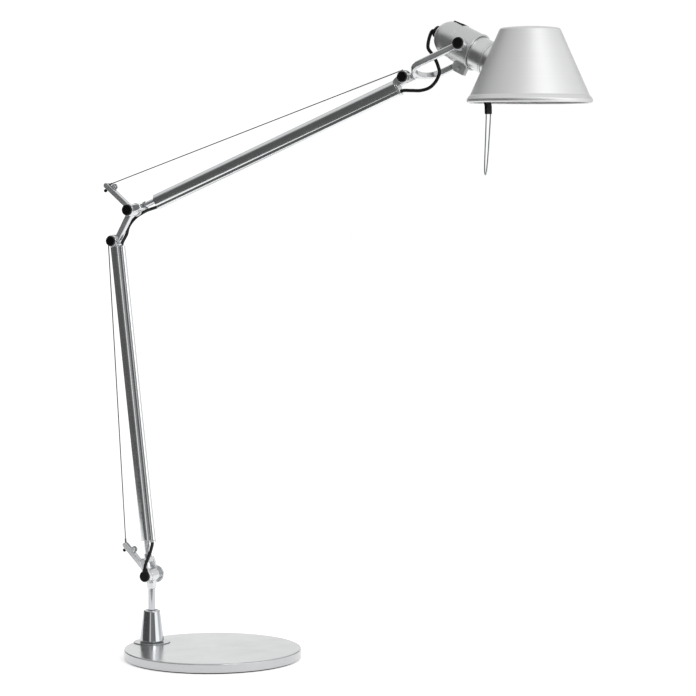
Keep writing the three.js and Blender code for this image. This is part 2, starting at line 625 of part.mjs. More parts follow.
// ---------------------------------------------------------------- balance cables, straight from lever to pulley
function cable(from, pulley) {
  const reach = from.distanceTo(pulley);
  const touch = Math.asin((PULLEY_R + CABLE_R + 0.2) / reach);
  const length = Math.sqrt(reach * reach - (PULLEY_R + CABLE_R + 0.2) ** 2);
  const heading = pulley.clone().sub(from).normalize().applyAxisAngle(Y, -touch);
  const across = heading.clone().cross(Y).negate();
  const eye = cut(bar(ALONG_Y, 2.3, -0.9, 0.9, [0, 0, 0], SMALL), bar(ALONG_Y, 1 + GAP, -2, 2, [0, 0, 0], SMALL));
  const run = bar(ALONG_Z, CABLE_R, 1.9, length, [0, 0, 0], 8);
  return { body: join(eye, run), matrix: frame(across, Y, heading, from) };
}

const baseEye = v3(BASE_LEVER_END[0], 0, BASE_LEVER_END[1]).applyMatrix4(POST);
const lowerPulleyPoint = v3(LOWER_PULLEY[0], 0, LOWER_PULLEY[1]).applyMatrix4(LOWER);
const lowerCable = cable(baseEye, lowerPulleyPoint);
piece("lower_cable", lowerCable.body, lowerCable.matrix, STEEL);
const elbowEye = v3(ELBOW_LEVER_END[0], 0, ELBOW_LEVER_END[1]).applyMatrix4(ELBOW_WORLD);
const upperPulleyPoint = v3(UPPER_PULLEY[0], 0, UPPER_PULLEY[1]).applyMatrix4(UPPER);
const upperCable = cable(elbowEye, upperPulleyPoint);
piece("upper_cable", upperCable.body, upperCable.matrix, STEEL);

// ---------------------------------------------------------------- fork
function forkPlate() {
  const out = PRONG_Y + PRONG_T / 2;
  const inn = PRONG_Y - PRONG_T / 2;
  const bend = 24;
  const shape = new THREE.Shape();
  shape.moveTo(0.4, -4.4);
  shape.bezierCurveTo(3, -7, 6, -out, bend, -out);
  shape.lineTo(FORK_LENGTH, -out);
  shape.lineTo(FORK_LENGTH, -inn);
  shape.lineTo(bend + 2, -inn);
  shape.bezierCurveTo(12, -inn, 9, -10, 6, 0);
  shape.bezierCurveTo(9, 10, 12, inn, bend + 2, inn);
  shape.lineTo(FORK_LENGTH, inn);
  shape.lineTo(FORK_LENGTH, out);
  shape.lineTo(bend, out);
  shape.bezierCurveTo(6, out, 3, 7, 0.4, 4.4);
  shape.closePath();
  const edge = 0.8;
  const g = new THREE.ExtrudeGeometry(shape, {
    depth: PRONG_H - 2 * edge,
    bevelEnabled: true,
    bevelThickness: edge,
    bevelSize: edge,
    bevelOffset: -edge,
    bevelSegments: 1,
    curveSegments: 6,
  });
  return solid(g, moveBy(0, 0, -PRONG_H / 2 + edge));
}

const prongIn = PRONG_Y - PRONG_T / 2;
const prongOut = PRONG_Y + PRONG_T / 2;
const eyes = join(
  bar(ALONG_Y, HINGE_CAP_R + CAP_RIM, -prongOut - CAP_PROUD, -prongIn - 0.2, [FORK_LENGTH, 0, 0]),
  bar(ALONG_Y, HINGE_CAP_R + CAP_RIM, prongIn + 0.2, prongOut + CAP_PROUD, [FORK_LENGTH, 0, 0]),
);
piece(
  "fork",
  cut(
    join(
      forkPlate(),
      bar(ALONG_X, 4.2, 0, 4.5, [0, 0, 0]),
      bar(ALONG_X, STEM_R, -STEM_IN, 0.5, [0, 0, 0], SMALL),
      eyes,
    ),
    bar(ALONG_Y, 2 + GAP, -40, 40, [FORK_LENGTH, 0, 0], SMALL),
  ),
  FORK,
  POLISHED,
);

const TILT = chain(FORK, moveBy(FORK_LENGTH, 0, 0));
function knob(side) {
  const face = prongOut + CAP_PROUD;
  const shaft = bar(ALONG_Y, 2, prongIn - 1.8, face + GAP + 0.4, [0, 0, 0], SMALL);
  const body = join(cap(HINGE_CAP_R, face, 1), shaft);
  return side > 0 ? body : solid(geometryOf(body), turnAbout(X, 180));
}
piece("tilt_knob_near", knob(-1), TILT, BLACK);
piece("tilt_knob_far", knob(1), TILT, BLACK);

// ---------------------------------------------------------------- lampholder head, x along the lampholder
const DOME_STEPS = 6;
function domeProfile(r) {
  const points = [];
  for (let i = 0; i <= DOME_STEPS; i++) {
    const a = (Math.PI / 2) * (i / DOME_STEPS);
    points.push([r * Math.sin(a), DOME_X - r * Math.cos(a)]);
  }
  return points;
}
const HOUSING_WALL = 1.6;
const neckR = COLLAR_R - 1.5 - GAP;
const housingFront = COLLAR_X[0] - GAP;
const outerDome = domeProfile(HOUSING_R);
const innerDome = domeProfile(HOUSING_R - HOUSING_WALL).reverse();
const housingShell = turned(
  [
    ...outerDome,
    [HOUSING_R, housingFront],
    [neckR, housingFront],
    [neckR, COLLAR_X[0] + 6],
    [neckR - 1.4, COLLAR_X[0] + 6],
    [neckR - 1.4, housingFront - 1.5],
    ...innerDome,
  ],
  FINE,
);
const SWITCH_X = [-31, -16.6];
const SWITCH_HALF = 5.5;
const SWITCH_GAP = 0.5;
const gripBore = bar(ALONG_X, LEAD_R + GAP, -60, DOME_X - 10, [0, 0, 0], SMALL);
piece(
  "lamp_housing",
  cut(
    solid(housingShell, ALONG_X),
    box(
      SWITCH_X[0] - SWITCH_GAP,
      SWITCH_X[1] + SWITCH_GAP - 0.3,
      -SWITCH_HALF - SWITCH_GAP,
      SWITCH_HALF + SWITCH_GAP,
      12,
      30,
    ),
    gripBore,
  ),
  HEAD,
  PAINTED,
);
const rocker = cut(
  box(SWITCH_X[0], SWITCH_X[1] - 0.3, -SWITCH_HALF, SWITCH_HALF, 15.6, 20.6),
  solid(new THREE.BoxGeometry(10, 20, 4), chain(moveBy(SWITCH_X[0], 0, 21.7), turnAbout(Y, -12))),
);
piece("rocker_switch", rocker, HEAD, BLACK);
piece(
  "cord_grip",
  cut(
    solid(
      turned([[0, -49.6], [4.4, -49.6], [6.4, -48.6], [6.8, -46.8], [6.8, -38], [0, -38]]),
      ALONG_X,
    ),
    solid(new THREE.SphereGeometry(HOUSING_R + 2 * GAP, 20, 12), chain(moveBy(DOME_X, 0, 0), ALONG_X)),
    bar(ALONG_X, LEAD_R + GAP, -60, DOME_X - 10, [0, 0, 0], SMALL),
  ),
  HEAD,
  RUBBER,
);

const LUG_Z = -28;
const SLIT = 0.9;
const bossFace = prongIn - GAP;
const collarBlank = join(
  bar(ALONG_X, COLLAR_R, COLLAR_X[0], COLLAR_X[1], [0, 0, 0], FINE),
  bar(ALONG_Y, 7.6, -bossFace, bossFace, [0, 0, 0]),
  cut(
    box(-5, COLLAR_X[1] - 0.6, -6.6, 6.6, LUG_Z, -12),
    solid(new THREE.BoxGeometry(8, 30, 8), chain(moveBy(-5.6, 0, LUG_Z), turnAbout(Y, 45))),
  ),
);
const lugScrew = [2.6, -23.6];
piece(
  "clamp_collar",
  cut(
    collarBlank,
    bar(ALONG_X, COLLAR_R - 1.5, COLLAR_X[0] - 5, COLLAR_X[1] + 5, [0, 0, 0], FINE),
    box(-20, 20, -SLIT, SLIT, LUG_Z - 2, -12),
    bar(ALONG_Y, 2 + GAP, -30, -16, [0, 0, 0], SMALL),
    bar(ALONG_Y, 2 + GAP, 16, 30, [0, 0, 0], SMALL),
    bar(ALONG_Y, 1.5 + GAP, -12, 12, [lugScrew[0], 0, lugScrew[1]], SMALL),
    bar(ALONG_Y, 2.6 + GAP, -12, -4.4, [lugScrew[0], 0, lugScrew[1]], SMALL),
  ),
  HEAD,
  PAINTED,
);
piece(
  "clamp_screw",
  cut(
    join(
      bar(ALONG_Y, 2.6, -6.2, -4.4 - GAP, [lugScrew[0], 0, lugScrew[1]], SMALL),
      bar(ALONG_Y, 1.5, -5, 6.2, [lugScrew[0], 0, lugScrew[1]], SMALL),
    ),
    box(lugScrew[0] - 4, lugScrew[0] + 4, -8, -5.6, lugScrew[1] - 0.4, lugScrew[1] + 0.4),
  ),
  HEAD,
  STEEL,
);

// ---------------------------------------------------------------- shade
const slope = Math.tan(rad(SHADE_SLOPE));
const sideR = (z) => CONE_R - (z - CONE_Z) * slope;
const CORNER_R = sideR(CORNER_Z);
const shadeOutside = [
  [RIM_R - 2.6, RIM_Z - 3.3],
  [RIM_R - 0.7, RIM_Z - 1.4],
  [RIM_R, RIM_Z],
  [RIM_R - 0.5, RIM_Z + 1.2],
  [CONE_R + 0.9, CONE_Z - 1],
  [CONE_R + 0.2, CONE_Z - 0.4],
  [CONE_R, CONE_Z],
  [CORNER_R, CORNER_Z],
  [CORNER_R - 1.5, CORNER_Z + 2.2],
  [CORNER_R - 4.2, CORNER_Z + 3.4],
  [CORNER_R - 14, SHADE_TOP_Z - 0.4],
  [0, SHADE_TOP_Z],
];
const innerTop = CORNER_Z - 0.6;
const shadeInside = [
  [0, SHADE_TOP_Z - SHADE_WALL],
  [CORNER_R - 14, SHADE_TOP_Z - 0.4 - SHADE_WALL],
  [CORNER_R - 4.7, CORNER_Z + 2.4],
  [sideR(innerTop) - SHADE_WALL - 0.5, innerTop + 0.6],
  [sideR(CONE_Z) - SHADE_WALL - 0.1, CONE_Z],
  [RIM_R - 3.6, RIM_Z + 1],
  [RIM_R - 3.4, RIM_Z - 1.4],
  [RIM_R - 2.6, RIM_Z - 3.3],
];
const inHead = chain(new THREE.Matrix4().copy(HEAD).invert(), SHADE);
const shadeShell = solid(turned([...shadeOutside, ...shadeInside], DISC), inHead);
const SOCKET_HOLE = 14.4;
const shadeHole = bar(ALONG_X, SOCKET_HOLE, 10, SHADE_OFF - 20, [0, 0, 0], FINE);
piece("shade", cut(shadeShell, shadeHole), HEAD, ALUMINIUM);

// The outside of the shade as a full body, grown by the clearance, that trims what seats on it.
const shadeForm = solid(
  turned([
    [0, -60],
    [sideR(-60) + GAP * 1.1, -60],
    [sideR(80) + GAP * 1.1, 80],
    [0, 80],
  ], DISC),
  inHead,
);
const CUP_WALL = 1.4;
const cupBack = -4.6;
piece(
  "lampholder_cup",
  cut(
    join(
      bar(ALONG_X, CUP_R, cupBack, SHADE_OFF - 44, [0, 0, 0], FINE),
      bar(ALONG_X, CUP_R + 0.7, SHADE_WALL_X - 5.4, SHADE_WALL_X - 3.6, [0, 0, 0], FINE),
    ),
    shadeForm,
    bar(ALONG_X, CUP_R - CUP_WALL, cupBack + 1.4, SHADE_OFF, [0, 0, 0], FINE),
    bar(ALONG_X, 8, cupBack - 4, cupBack + 4, [0, 0, 0], SMALL + 4),
  ),
  HEAD,
  ALUMINIUM,
);
const SOCKET_R = 11.2;
piece(
  "ceramic_socket",
  solid(
    turned(
      [
        [0, cupBack + 1.4 + GAP],
        [CUP_R - CUP_WALL - GAP, cupBack + 1.4 + GAP],
        [CUP_R - CUP_WALL - GAP, 3],
        [SOCKET_R, 4],
        [SOCKET_R, 52],
        [SOCKET_R - 1, 53],
        [7.9, 53],
        [7.9, 33],
        [0, 33],
      ],
      ROUND,
    ),
    ALONG_X,
  ),
  HEAD,
  CERAMIC,
);
piece(
  "socket_nut",
  cut(
    bar(ALONG_X, 16.6, 37.2, 41.6, [0, 0, 0]),
    bar(ALONG_X, SOCKET_R + GAP, 30, 50, [0, 0, 0]),
  ),
  HEAD,
  STEEL,
);
const BULB_R = 16.5;
piece(
  "bulb_cap",
  solid(turned([[0, 33.8], [2.5, 33.8], [4, 36.5], [7, 38], [7, 55.6], [0, 55.6]]), ALONG_X),
  HEAD,
  BRASS,
);
piece(
  "bulb_glass",
  solid(
    turned(
      [
        [0, 55.9],
        [6.8, 55.9],
        [7.4, 60],
        [10, 66],
        [13.6, 71],
        [16, 77],
        [BULB_R, 82.5],
        [15.8, 88],
        [13, 93.5],
        [8.5, 97.3],
        [3.5, 98.8],
        [0, 99],
      ],
      ROUND,
    ),
    ALONG_X,
  ),
  HEAD,
  GLASS,
);

// ---------------------------------------------------------------- handle, in the shade's frame, on the lampholder's side
const rimInside = -(RIM_R - 3.7);
const HANDLE_W = 4; // half distance between the two legs
const legTop = RIM_Z - 14;
const tip = RIM_Z - HANDLE_DROP + 20;
const legPath = (side) => [
  v3(rimInside + 2.2, side * HANDLE_W, RIM_Z + 4),
  v3(rimInside + 5, side * HANDLE_W, RIM_Z + 2.6),
  v3(-HANDLE_RHO - 1.2, side * HANDLE_W, RIM_Z - 1.6),
  v3(-HANDLE_RHO, side * HANDLE_W, legTop + 4),
];
const handlePoints = [
  ...legPath(1),
  v3(-HANDLE_RHO - 0.8, 3.5, legTop - 20),
  v3(-HANDLE_RHO - 3.3, 1.5, tip + 3),
  v3(-HANDLE_RHO - 3.5, 0, tip),
  v3(-HANDLE_RHO - 3.3, -1.5, tip + 3),
  v3(-HANDLE_RHO - 0.8, -3.5, legTop - 20),
  ...legPath(-1).reverse(),
];
const handleWire = solid(wire(handlePoints, HANDLE_R, 48, 6));
piece("handle_wire", handleWire, SHADE, STEEL);
const sleevePath = [
  v3(rimInside + 3.4, 0, RIM_Z + 3.4),
  v3(rimInside + 6.2, 0, RIM_Z + 1.6),
  v3(-HANDLE_RHO - 0.9, 0, RIM_Z - 3),
  v3(-HANDLE_RHO, 0, legTop),
];
function sleeve() {
  const path = new THREE.CatmullRomCurve3(sleevePath, false, "centripetal");
  const shape = new THREE.Shape();
  const w = HANDLE_W + 1.3;
  const h = 1.7;
  const corner = 1.2;
  // local x of the section lies along the path's normal, local y across the two legs
  shape.moveTo(-h, -w + corner);
  shape.lineTo(-h, w - corner);
  shape.lineTo(-h + corner, w);
  shape.lineTo(h - corner, w);
  shape.lineTo(h, w - corner);
  shape.lineTo(h, -w + corner);
  shape.lineTo(h - corner, -w);
  shape.lineTo(-h + corner, -w);
  shape.closePath();
  return new THREE.ExtrudeGeometry(shape, { steps: 14, bevelEnabled: false, extrudePath: path });
}
const wireSpace = join(
  solid(wire(legPath(1).concat([v3(-HANDLE_RHO - 0.3, HANDLE_W, legTop - 8)]), HANDLE_R + GAP, 40, 8)),
  solid(wire(legPath(-1).concat([v3(-HANDLE_RHO - 0.3, -HANDLE_W, legTop - 8)]), HANDLE_R + GAP, 40, 8)),
);
piece("handle_sleeve", cut(solid(sleeve()), wireSpace), SHADE, RUBBER);

// ---------------------------------------------------------------- the lead where it shows between the arms
function lead(name, points, steps) {
  piece(name, solid(wire(points, LEAD_R, steps, 8)), IDENTITY, RUBBER);
}
const inUpper = (s, y, v) => v3(s, y, v).applyMatrix4(UPPER);
const inLower = (u, y, w) => v3(u, y, w).applyMatrix4(LOWER);
const channelV = UPPER_TUBE_V - CHANNEL_OFF;
const channelU = LOWER_TUBE_U + CHANNEL_OFF;
const gripEnd = v3(-48.9, 0, 0).applyMatrix4(HEAD);
const gripOut = v3(-53, 0, -1.6).applyMatrix4(HEAD);
const SPLIT_GAP = 0.15;
const midLead = inUpper(FORK_S + 29.8, 1, -5);
const midHeading = inUpper(FORK_S + 30.3, 1.5, 4).sub(midLead).normalize();
const shifted = (p, d) => p.clone().addScaledVector(midHeading, d);
lead(
  "lead_to_fork",
  [
    inUpper(UPPER_TUBE_END - 8, 0, channelV),
    inUpper(UPPER_TUBE_END + 4, 0, channelV - 0.4),
    inUpper(UPPER_TUBE_END + 13.3, 0, -13.6),
    inUpper(FORK_S + 2, 0, -18.2),
    inUpper(FORK_S + 13, 0, -19.4),
    inUpper(FORK_S + 22.5, 0, -15.8),
    inUpper(FORK_S + 28.3, 0.5, -10.4),
    shifted(midLead, -2.5),
    shifted(midLead, -SPLIT_GAP),
  ],
  27,
);
lead(
  "lead_to_head",
  [
    shifted(midLead, SPLIT_GAP),
    shifted(midLead, 2.5),
    inUpper(FORK_S + 29.6, 2, 4),
    inUpper(FORK_S + 27.4, 3, 13.6),
    inUpper(FORK_S + 25.4, 4, 22),
    gripOut,
    gripEnd,
  ],
  24,
);
lead(
  "lead_at_elbow",
  [
    inUpper(UPPER_TUBE_START + 8, 0, channelV),
    inUpper(UPPER_TUBE_START - 2, 0.6, channelV + 0.2),
    inUpper(21, 4.4, -7.6),
    inUpper(12.5, 9.4, -6),
    inUpper(4, 13.4, -5.4),
    inUpper(-5, 14.6, -6),
    inUpper(-13, 12.8, -9.4),
    inLower(11, 10, LOWER_TUBE_END + 20.5),
    inLower(9.1, 7.4, LOWER_TUBE_END + 12.5),
    inLower(channelU + 0.8, 1.9, LOWER_TUBE_END + 4.6),
    inLower(channelU, 0, LOWER_TUBE_END - 0.5),
    inLower(channelU, 0, LOWER_TUBE_END - 8),
  ],
  32,
);
lead(
  "lead_at_base",
  [
    inLower(channelU, 0, LOWER_TUBE_START + 8),
    inLower(channelU, -0.5, LOWER_TUBE_START - 3.5),
    inLower(5.4, -5.4, 28),
    inLower(4.8, -11, 21),
    inLower(3.6, -16, 14),
    inLower(ENTRY[0], ENTRY[1], 10.2),
    inLower(ENTRY[0], ENTRY[1], 7.4),
  ],
  26,
);

export default group;
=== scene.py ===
"""Architect desk lamp on a round weighted base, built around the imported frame.

Every surface is computed in millimetres in the local frame of its sub-assembly and
written in metres in the shared frame. Each sub-assembly is a class, each finish is a
small class that builds a procedural material, and main() builds them in order.
"""

import logging
import math
from dataclasses import dataclass, field
from enum import Enum
from typing import Optional, Sequence

import bmesh  # noqa: E402
import bpy  # noqa: E402
import numpy as np  # noqa: E402
from mathutils import Matrix, Vector  # noqa: E402
from mathutils.geometry import tessellate_polygon  # noqa: E402


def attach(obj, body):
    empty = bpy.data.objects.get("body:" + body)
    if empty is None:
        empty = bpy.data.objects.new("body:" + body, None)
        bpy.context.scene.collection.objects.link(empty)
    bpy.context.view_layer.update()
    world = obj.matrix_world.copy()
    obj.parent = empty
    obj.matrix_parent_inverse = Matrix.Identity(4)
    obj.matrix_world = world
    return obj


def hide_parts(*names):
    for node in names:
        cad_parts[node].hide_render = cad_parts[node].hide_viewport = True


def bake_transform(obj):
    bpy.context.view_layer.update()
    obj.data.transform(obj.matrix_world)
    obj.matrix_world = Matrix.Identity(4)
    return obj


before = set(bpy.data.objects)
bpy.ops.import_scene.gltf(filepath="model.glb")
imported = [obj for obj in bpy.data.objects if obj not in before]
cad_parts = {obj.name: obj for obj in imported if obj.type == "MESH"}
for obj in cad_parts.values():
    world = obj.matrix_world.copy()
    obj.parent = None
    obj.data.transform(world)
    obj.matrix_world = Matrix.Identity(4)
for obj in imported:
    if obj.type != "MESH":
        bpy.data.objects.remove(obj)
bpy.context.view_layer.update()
LOG = logging.getLogger("lamp")
MM = 0.001

# ------------------------------------------------------------------ dimensions, mm and degrees
GAP = 0.3
BASE_R, BASE_H, PAD_H, COVER_WALL = 100.0, 11.6, 1.2, 1.2
POST_X, POST_R = -80.4, 4.0
CONE_BOTTOM_R, CONE_TOP_R, CONE_H, PLATE_R = 13.8, 9.4, 36.0, 21.0
PIVOT_Z, LOWER_LEAN = 89.2, 6.6
LOWER_TUBE_START, LOWER_TUBE_END = 39.6, 377.5
UPPER_RISE, UPPER_TUBE_START, UPPER_TUBE_END = 22.4, 33.5, 361.7
TUBE_A, TUBE_B, TUBE_WALL = 7.8, 6.0, 1.1
CHANNEL_R, CHANNEL_OFF, CHANNEL_RING_R = 4.0, 6.5, 4.4
PLUG_PLAY = 0.4
LOWER_TUBE_U, UPPER_TUBE_V = -0.8, -2.9
FOOT_U, ENTRY = LOWER_TUBE_U - 1.2, (3.0, -17.4)
LOWER_PULLEY, ELBOW, UPPER_PULLEY = (-3.8, 384.2), (24.7, 416.7), (374.1, 2.8)
PULLEY_R, PULLEY_T, CABLE_R = 7.0, 3.0, 0.6
LEVER_W, LEVER_T = 6.0, 6.2
BASE_LEVER_END, ELBOW_LEVER_END = (-34.3, 32.1), (-33.6, 27.5)
WHEEL_ALONG, WHEEL_OFF, WHEEL_R = 34.5, 5.4, 3.4
HINGE_CAP_R, PULLEY_CAP_R, CAP_T, CAP_RIM, CAP_PROUD = 6.0, 5.5, 2.0, 1.0, 1.4
BASE_DISC_R, ELBOW_DISC_R, PIN_R, CHEEK_Y = 10.0, 7.6, 2.4, 5.6
LEG_T, FAR_LEG_T, LEG_W = 4.2, 3.0, 7.4
BASE_HUB, ELBOW_HUB = (-8.6, 5.6), (-5.0, 3.2)
FORK_S, FORK_V, FORK_ROLL, FORK_LENGTH = 384.0, -0.4, 12.0, 72.0
PRONG_Y, PRONG_T, PRONG_H = 23.0, 4.8, 6.8
HEAD_TILT, HOUSING_R, DOME_X = 47.6, 19.2, -26.0
COLLAR_R, COLLAR_X, CUP_R, SHADE_WALL_X = 20.0, (-16.0, 10.6), 18.2, 32.0
SHADE_TURN, SHADE_SLOPE, SHADE_WALL, SHADE_OFF = 12.2, 24.2, 1.0, 82.7
RIM_R, RIM_Z, SHADE_TOP_Z = 66.2, -21.3, 55.6
SIDE_Z, SIDE_R, CORNER_Z = -15.9, 62.5, 51.0
LEAD_R, HANDLE_R, HANDLE_RHO, HANDLE_DROP = 1.85, 0.7, 52.0, 98.0


# ------------------------------------------------------------------ local frames
class Axis(Enum):
    """The three directions that a frame can be turned about."""

    X = 0
    Y = 1
    Z = 2


def turn(axis: Axis, degrees: float) -> np.ndarray:
    """Rotation about one axis.

    Args:
        axis: the axis turned about.
        degrees: the angle, right-handed.
    Returns:
        A 4 by 4 matrix.
    """
    a = math.radians(degrees)
    m = np.eye(4)
    i, j = (axis.value + 1) % 3, (axis.value + 2) % 3
    m[i, i], m[i, j], m[j, i], m[j, j] = math.cos(a), -math.sin(a), math.sin(a), math.cos(a)
    return m


def move(x: float, y: float, z: float) -> np.ndarray:
    """Translation as a 4 by 4 matrix.

    Args:
        x: distance along x.
        y: distance along y.
        z: distance along z.
    Returns:
        The matrix.
    """
    m = np.eye(4)
    m[:3, 3] = (x, y, z)
    return m


def at(matrix: np.ndarray, x: float, y: float, z: float) -> np.ndarray:
    """A point of a local frame, in the shared frame.

    Args:
        matrix: the local frame.
        x: first coordinate.
        y: second coordinate.
        z: third coordinate.
    Returns:
        Three coordinates in millimetres.
    """
    return matrix[:3, :3] @ np.array((x, y, z)) + matrix[:3, 3]


def basis(x: Sequence[float], y: Sequence[float], z: Sequence[float]) -> np.ndarray:
    """A frame from its three directions.

    Args:
        x: where local x points.
        y: where local y points.
        z: where local z points.
    Returns:
        A 4 by 4 matrix at the origin.
    """
    m = np.eye(4)
    m[:3, 0], m[:3, 1], m[:3, 2] = x, y, z
    return m


ALONG_Y = basis((0, 0, 1), (1, 0, 0), (0, 1, 0))
ALONG_X = basis((0, 1, 0), (0, 0, 1), (1, 0, 0))
UPRIGHT = basis((1, 0, 0), (0, 0, 1), (0, -1, 0))  # local x and y become X and Z

POST = move(POST_X, 0, PIVOT_Z)
LOWER = POST @ turn(Axis.Y, -LOWER_LEAN)
ELBOW_POINT = at(LOWER, ELBOW[0], 0, ELBOW[1])
ELBOW_WORLD = move(*ELBOW_POINT)
UPPER = ELBOW_WORLD @ turn(Axis.Y, -UPPER_RISE)
UPPER_ALONG = UPPER @ turn(Axis.Y, 90)
LOWER_TUBE = LOWER @ move(LOWER_TUBE_U, 0, 0)
UPPER_TUBE = UPPER @ move(0, 0, UPPER_TUBE_V) @ turn(Axis.Y, 90)
FORK = UPPER @ move(FORK_S, 0, FORK_V) @ turn(Axis.X, -FORK_ROLL)
HEAD = FORK @ move(FORK_LENGTH, 0, 0) @ turn(Axis.Y, HEAD_TILT)
SHADE = HEAD @ move(SHADE_OFF, 0, 0) @ turn(Axis.X, SHADE_TURN) @ turn(Axis.Y, -SHADE_SLOPE)


# ------------------------------------------------------------------ surfaces
@dataclass(frozen=True)
class Shape:
    """One or more closed surfaces.

    Attributes:
        points: vertices in millimetres, one row each.
        faces: tuples of vertex numbers.
    """

    points: np.ndarray
    faces: list

    def placed(self, matrix: np.ndarray) -> "Shape":
        """Moves the shape by a frame.

        Args:
            matrix: the 4 by 4 frame.
        Returns:
            The moved shape.
        """
        return Shape(self.points @ matrix[:3, :3].T + matrix[:3, 3], self.faces)


def together(*shapes: Shape) -> Shape:
    """Several shapes as one.

    Args:
        shapes: the shapes.
    Returns:
        One shape with all their surfaces.
    """
    points, faces, count = [], [], 0
    for s in shapes:
        points.append(s.points)
        faces += [tuple(i + count for i in f) for f in s.faces]
        count += len(s.points)
    return Shape(np.vstack(points), faces)


def rounded(corners: Sequence[Sequence[float]], closed: bool = False, steps: int = 5) -> np.ndarray:
    """Replaces each corner of a polyline by an arc, with a support point on each side.

    Each corner is (x, y) or (x, y, radius). The arc touches both sides at the distance
    radius times the tangent of half the turn, and never takes more than 0.46 of a side.

    Args:
        corners: the corner points.
        closed: whether the last corner joins the first.
        steps: steps of each arc.
    Returns:
        Points, one row each.
    """
    rows = [tuple(c) + (0.0,) * (3 - len(c)) for c in corners]
    n, out = len(rows), []
    for i, (x, y, radius) in enumerate(rows):
        p = np.array((x, y))
        if radius <= 0 or (not closed and i in (0, n - 1)):
            out.append(p)
            continue
        a, b = np.array(rows[i - 1][:2]) - p, np.array(rows[(i + 1) % n][:2]) - p
        la, lb = np.linalg.norm(a), np.linalg.norm(b)
        u, v = a / la, b / lb
        turned_by = math.pi - math.acos(float(np.clip(u @ v, -1, 1)))
        if turned_by < 0.02:
            out.append(p)
            continue
        reach = min(radius * math.tan(turned_by / 2), 0.46 * la, 0.46 * lb)
        r = reach / math.tan(turned_by / 2)
        centre = p + (u + v) / np.linalg.norm(u + v) * r / math.cos(turned_by / 2)
        first, last = p + u * reach - centre, p + v * reach - centre
        out.append(p + u * min(reach * 1.25, 0.48 * la))
        for k in range(steps + 1):
            t = k / steps
            s = math.sin(turned_by)
            out.append(
                centre + (math.sin((1 - t) * turned_by) * first + math.sin(t * turned_by) * last) / s
                if s > 1e-6
                else centre + (1 - t) * first + t * last
            )
        out.append(p + v * min(reach * 1.25, 0.48 * lb))
    return np.array(out)


def lathe(profile: np.ndarray, sides: int = 96, loop: bool = False) -> Shape:
    """Turns a profile about local z: x = r cos a, y = r sin a, z = height.

    Args:
        profile: rows of radius and height, from the axis to the axis, or a closed loop.
        sides: steps round the axis.
        loop: whether the profile closes on itself instead of on the axis.
    Returns:
        A closed shape.
    """
    a = np.linspace(0, 2 * math.pi, sides, endpoint=False)
    body = profile if loop else profile[1:-1]
    rings = np.stack(
        [np.outer(body[:, 0], np.cos(a)), np.outer(body[:, 0], np.sin(a)), np.repeat(body[:, 1:2], sides, 1)],
        axis=-1,
    )
    count = len(body)
    index = np.arange(count * sides).reshape(count, sides)
    if loop:
        index = np.vstack([index, index[:1]])
    right = np.roll(index, -1, axis=1)
    quads = np.stack([index[:-1], right[:-1], right[1:], index[1:]], axis=-1).reshape(-1, 4)
    faces = [tuple(q) for q in quads.tolist()]
    points = rings.reshape(-1, 3)
    if not loop:
        low, high = len(points), len(points) + 1
        points = np.vstack([points, [[0, 0, profile[0, 1]], [0, 0, profile[-1, 1]]]])
        faces += [(low, int(r), int(i)) for i, r in zip(index[0], right[0])]
        faces += [(high, int(i), int(r)) for i, r in zip(index[-1], right[-1])]
    return Shape(points, faces)


def inset(outline: np.ndarray, distance: float) -> np.ndarray:
    """Moves a counterclockwise closed outline inwards along its mitred normals.

    Args:
        outline: rows of x and y.
        distance: how far.
    Returns:
        The moved outline, with the same count.
    """
    before = outline - np.roll(outline, 1, axis=0)
    after = np.roll(outline, -1, axis=0) - outline
    normals = []
    for d in (before, after):
        d = d / np.maximum(np.linalg.norm(d, axis=1, keepdims=True), 1e-9)
        normals.append(np.stack([-d[:, 1], d[:, 0]], axis=1))
    mean = normals[0] + normals[1]
    mean /= np.maximum(np.linalg.norm(mean, axis=1, keepdims=True), 1e-9)
    mitre = np.clip((mean * normals[0]).sum(1, keepdims=True), 0.5, 1)
    return outline + mean * distance / mitre


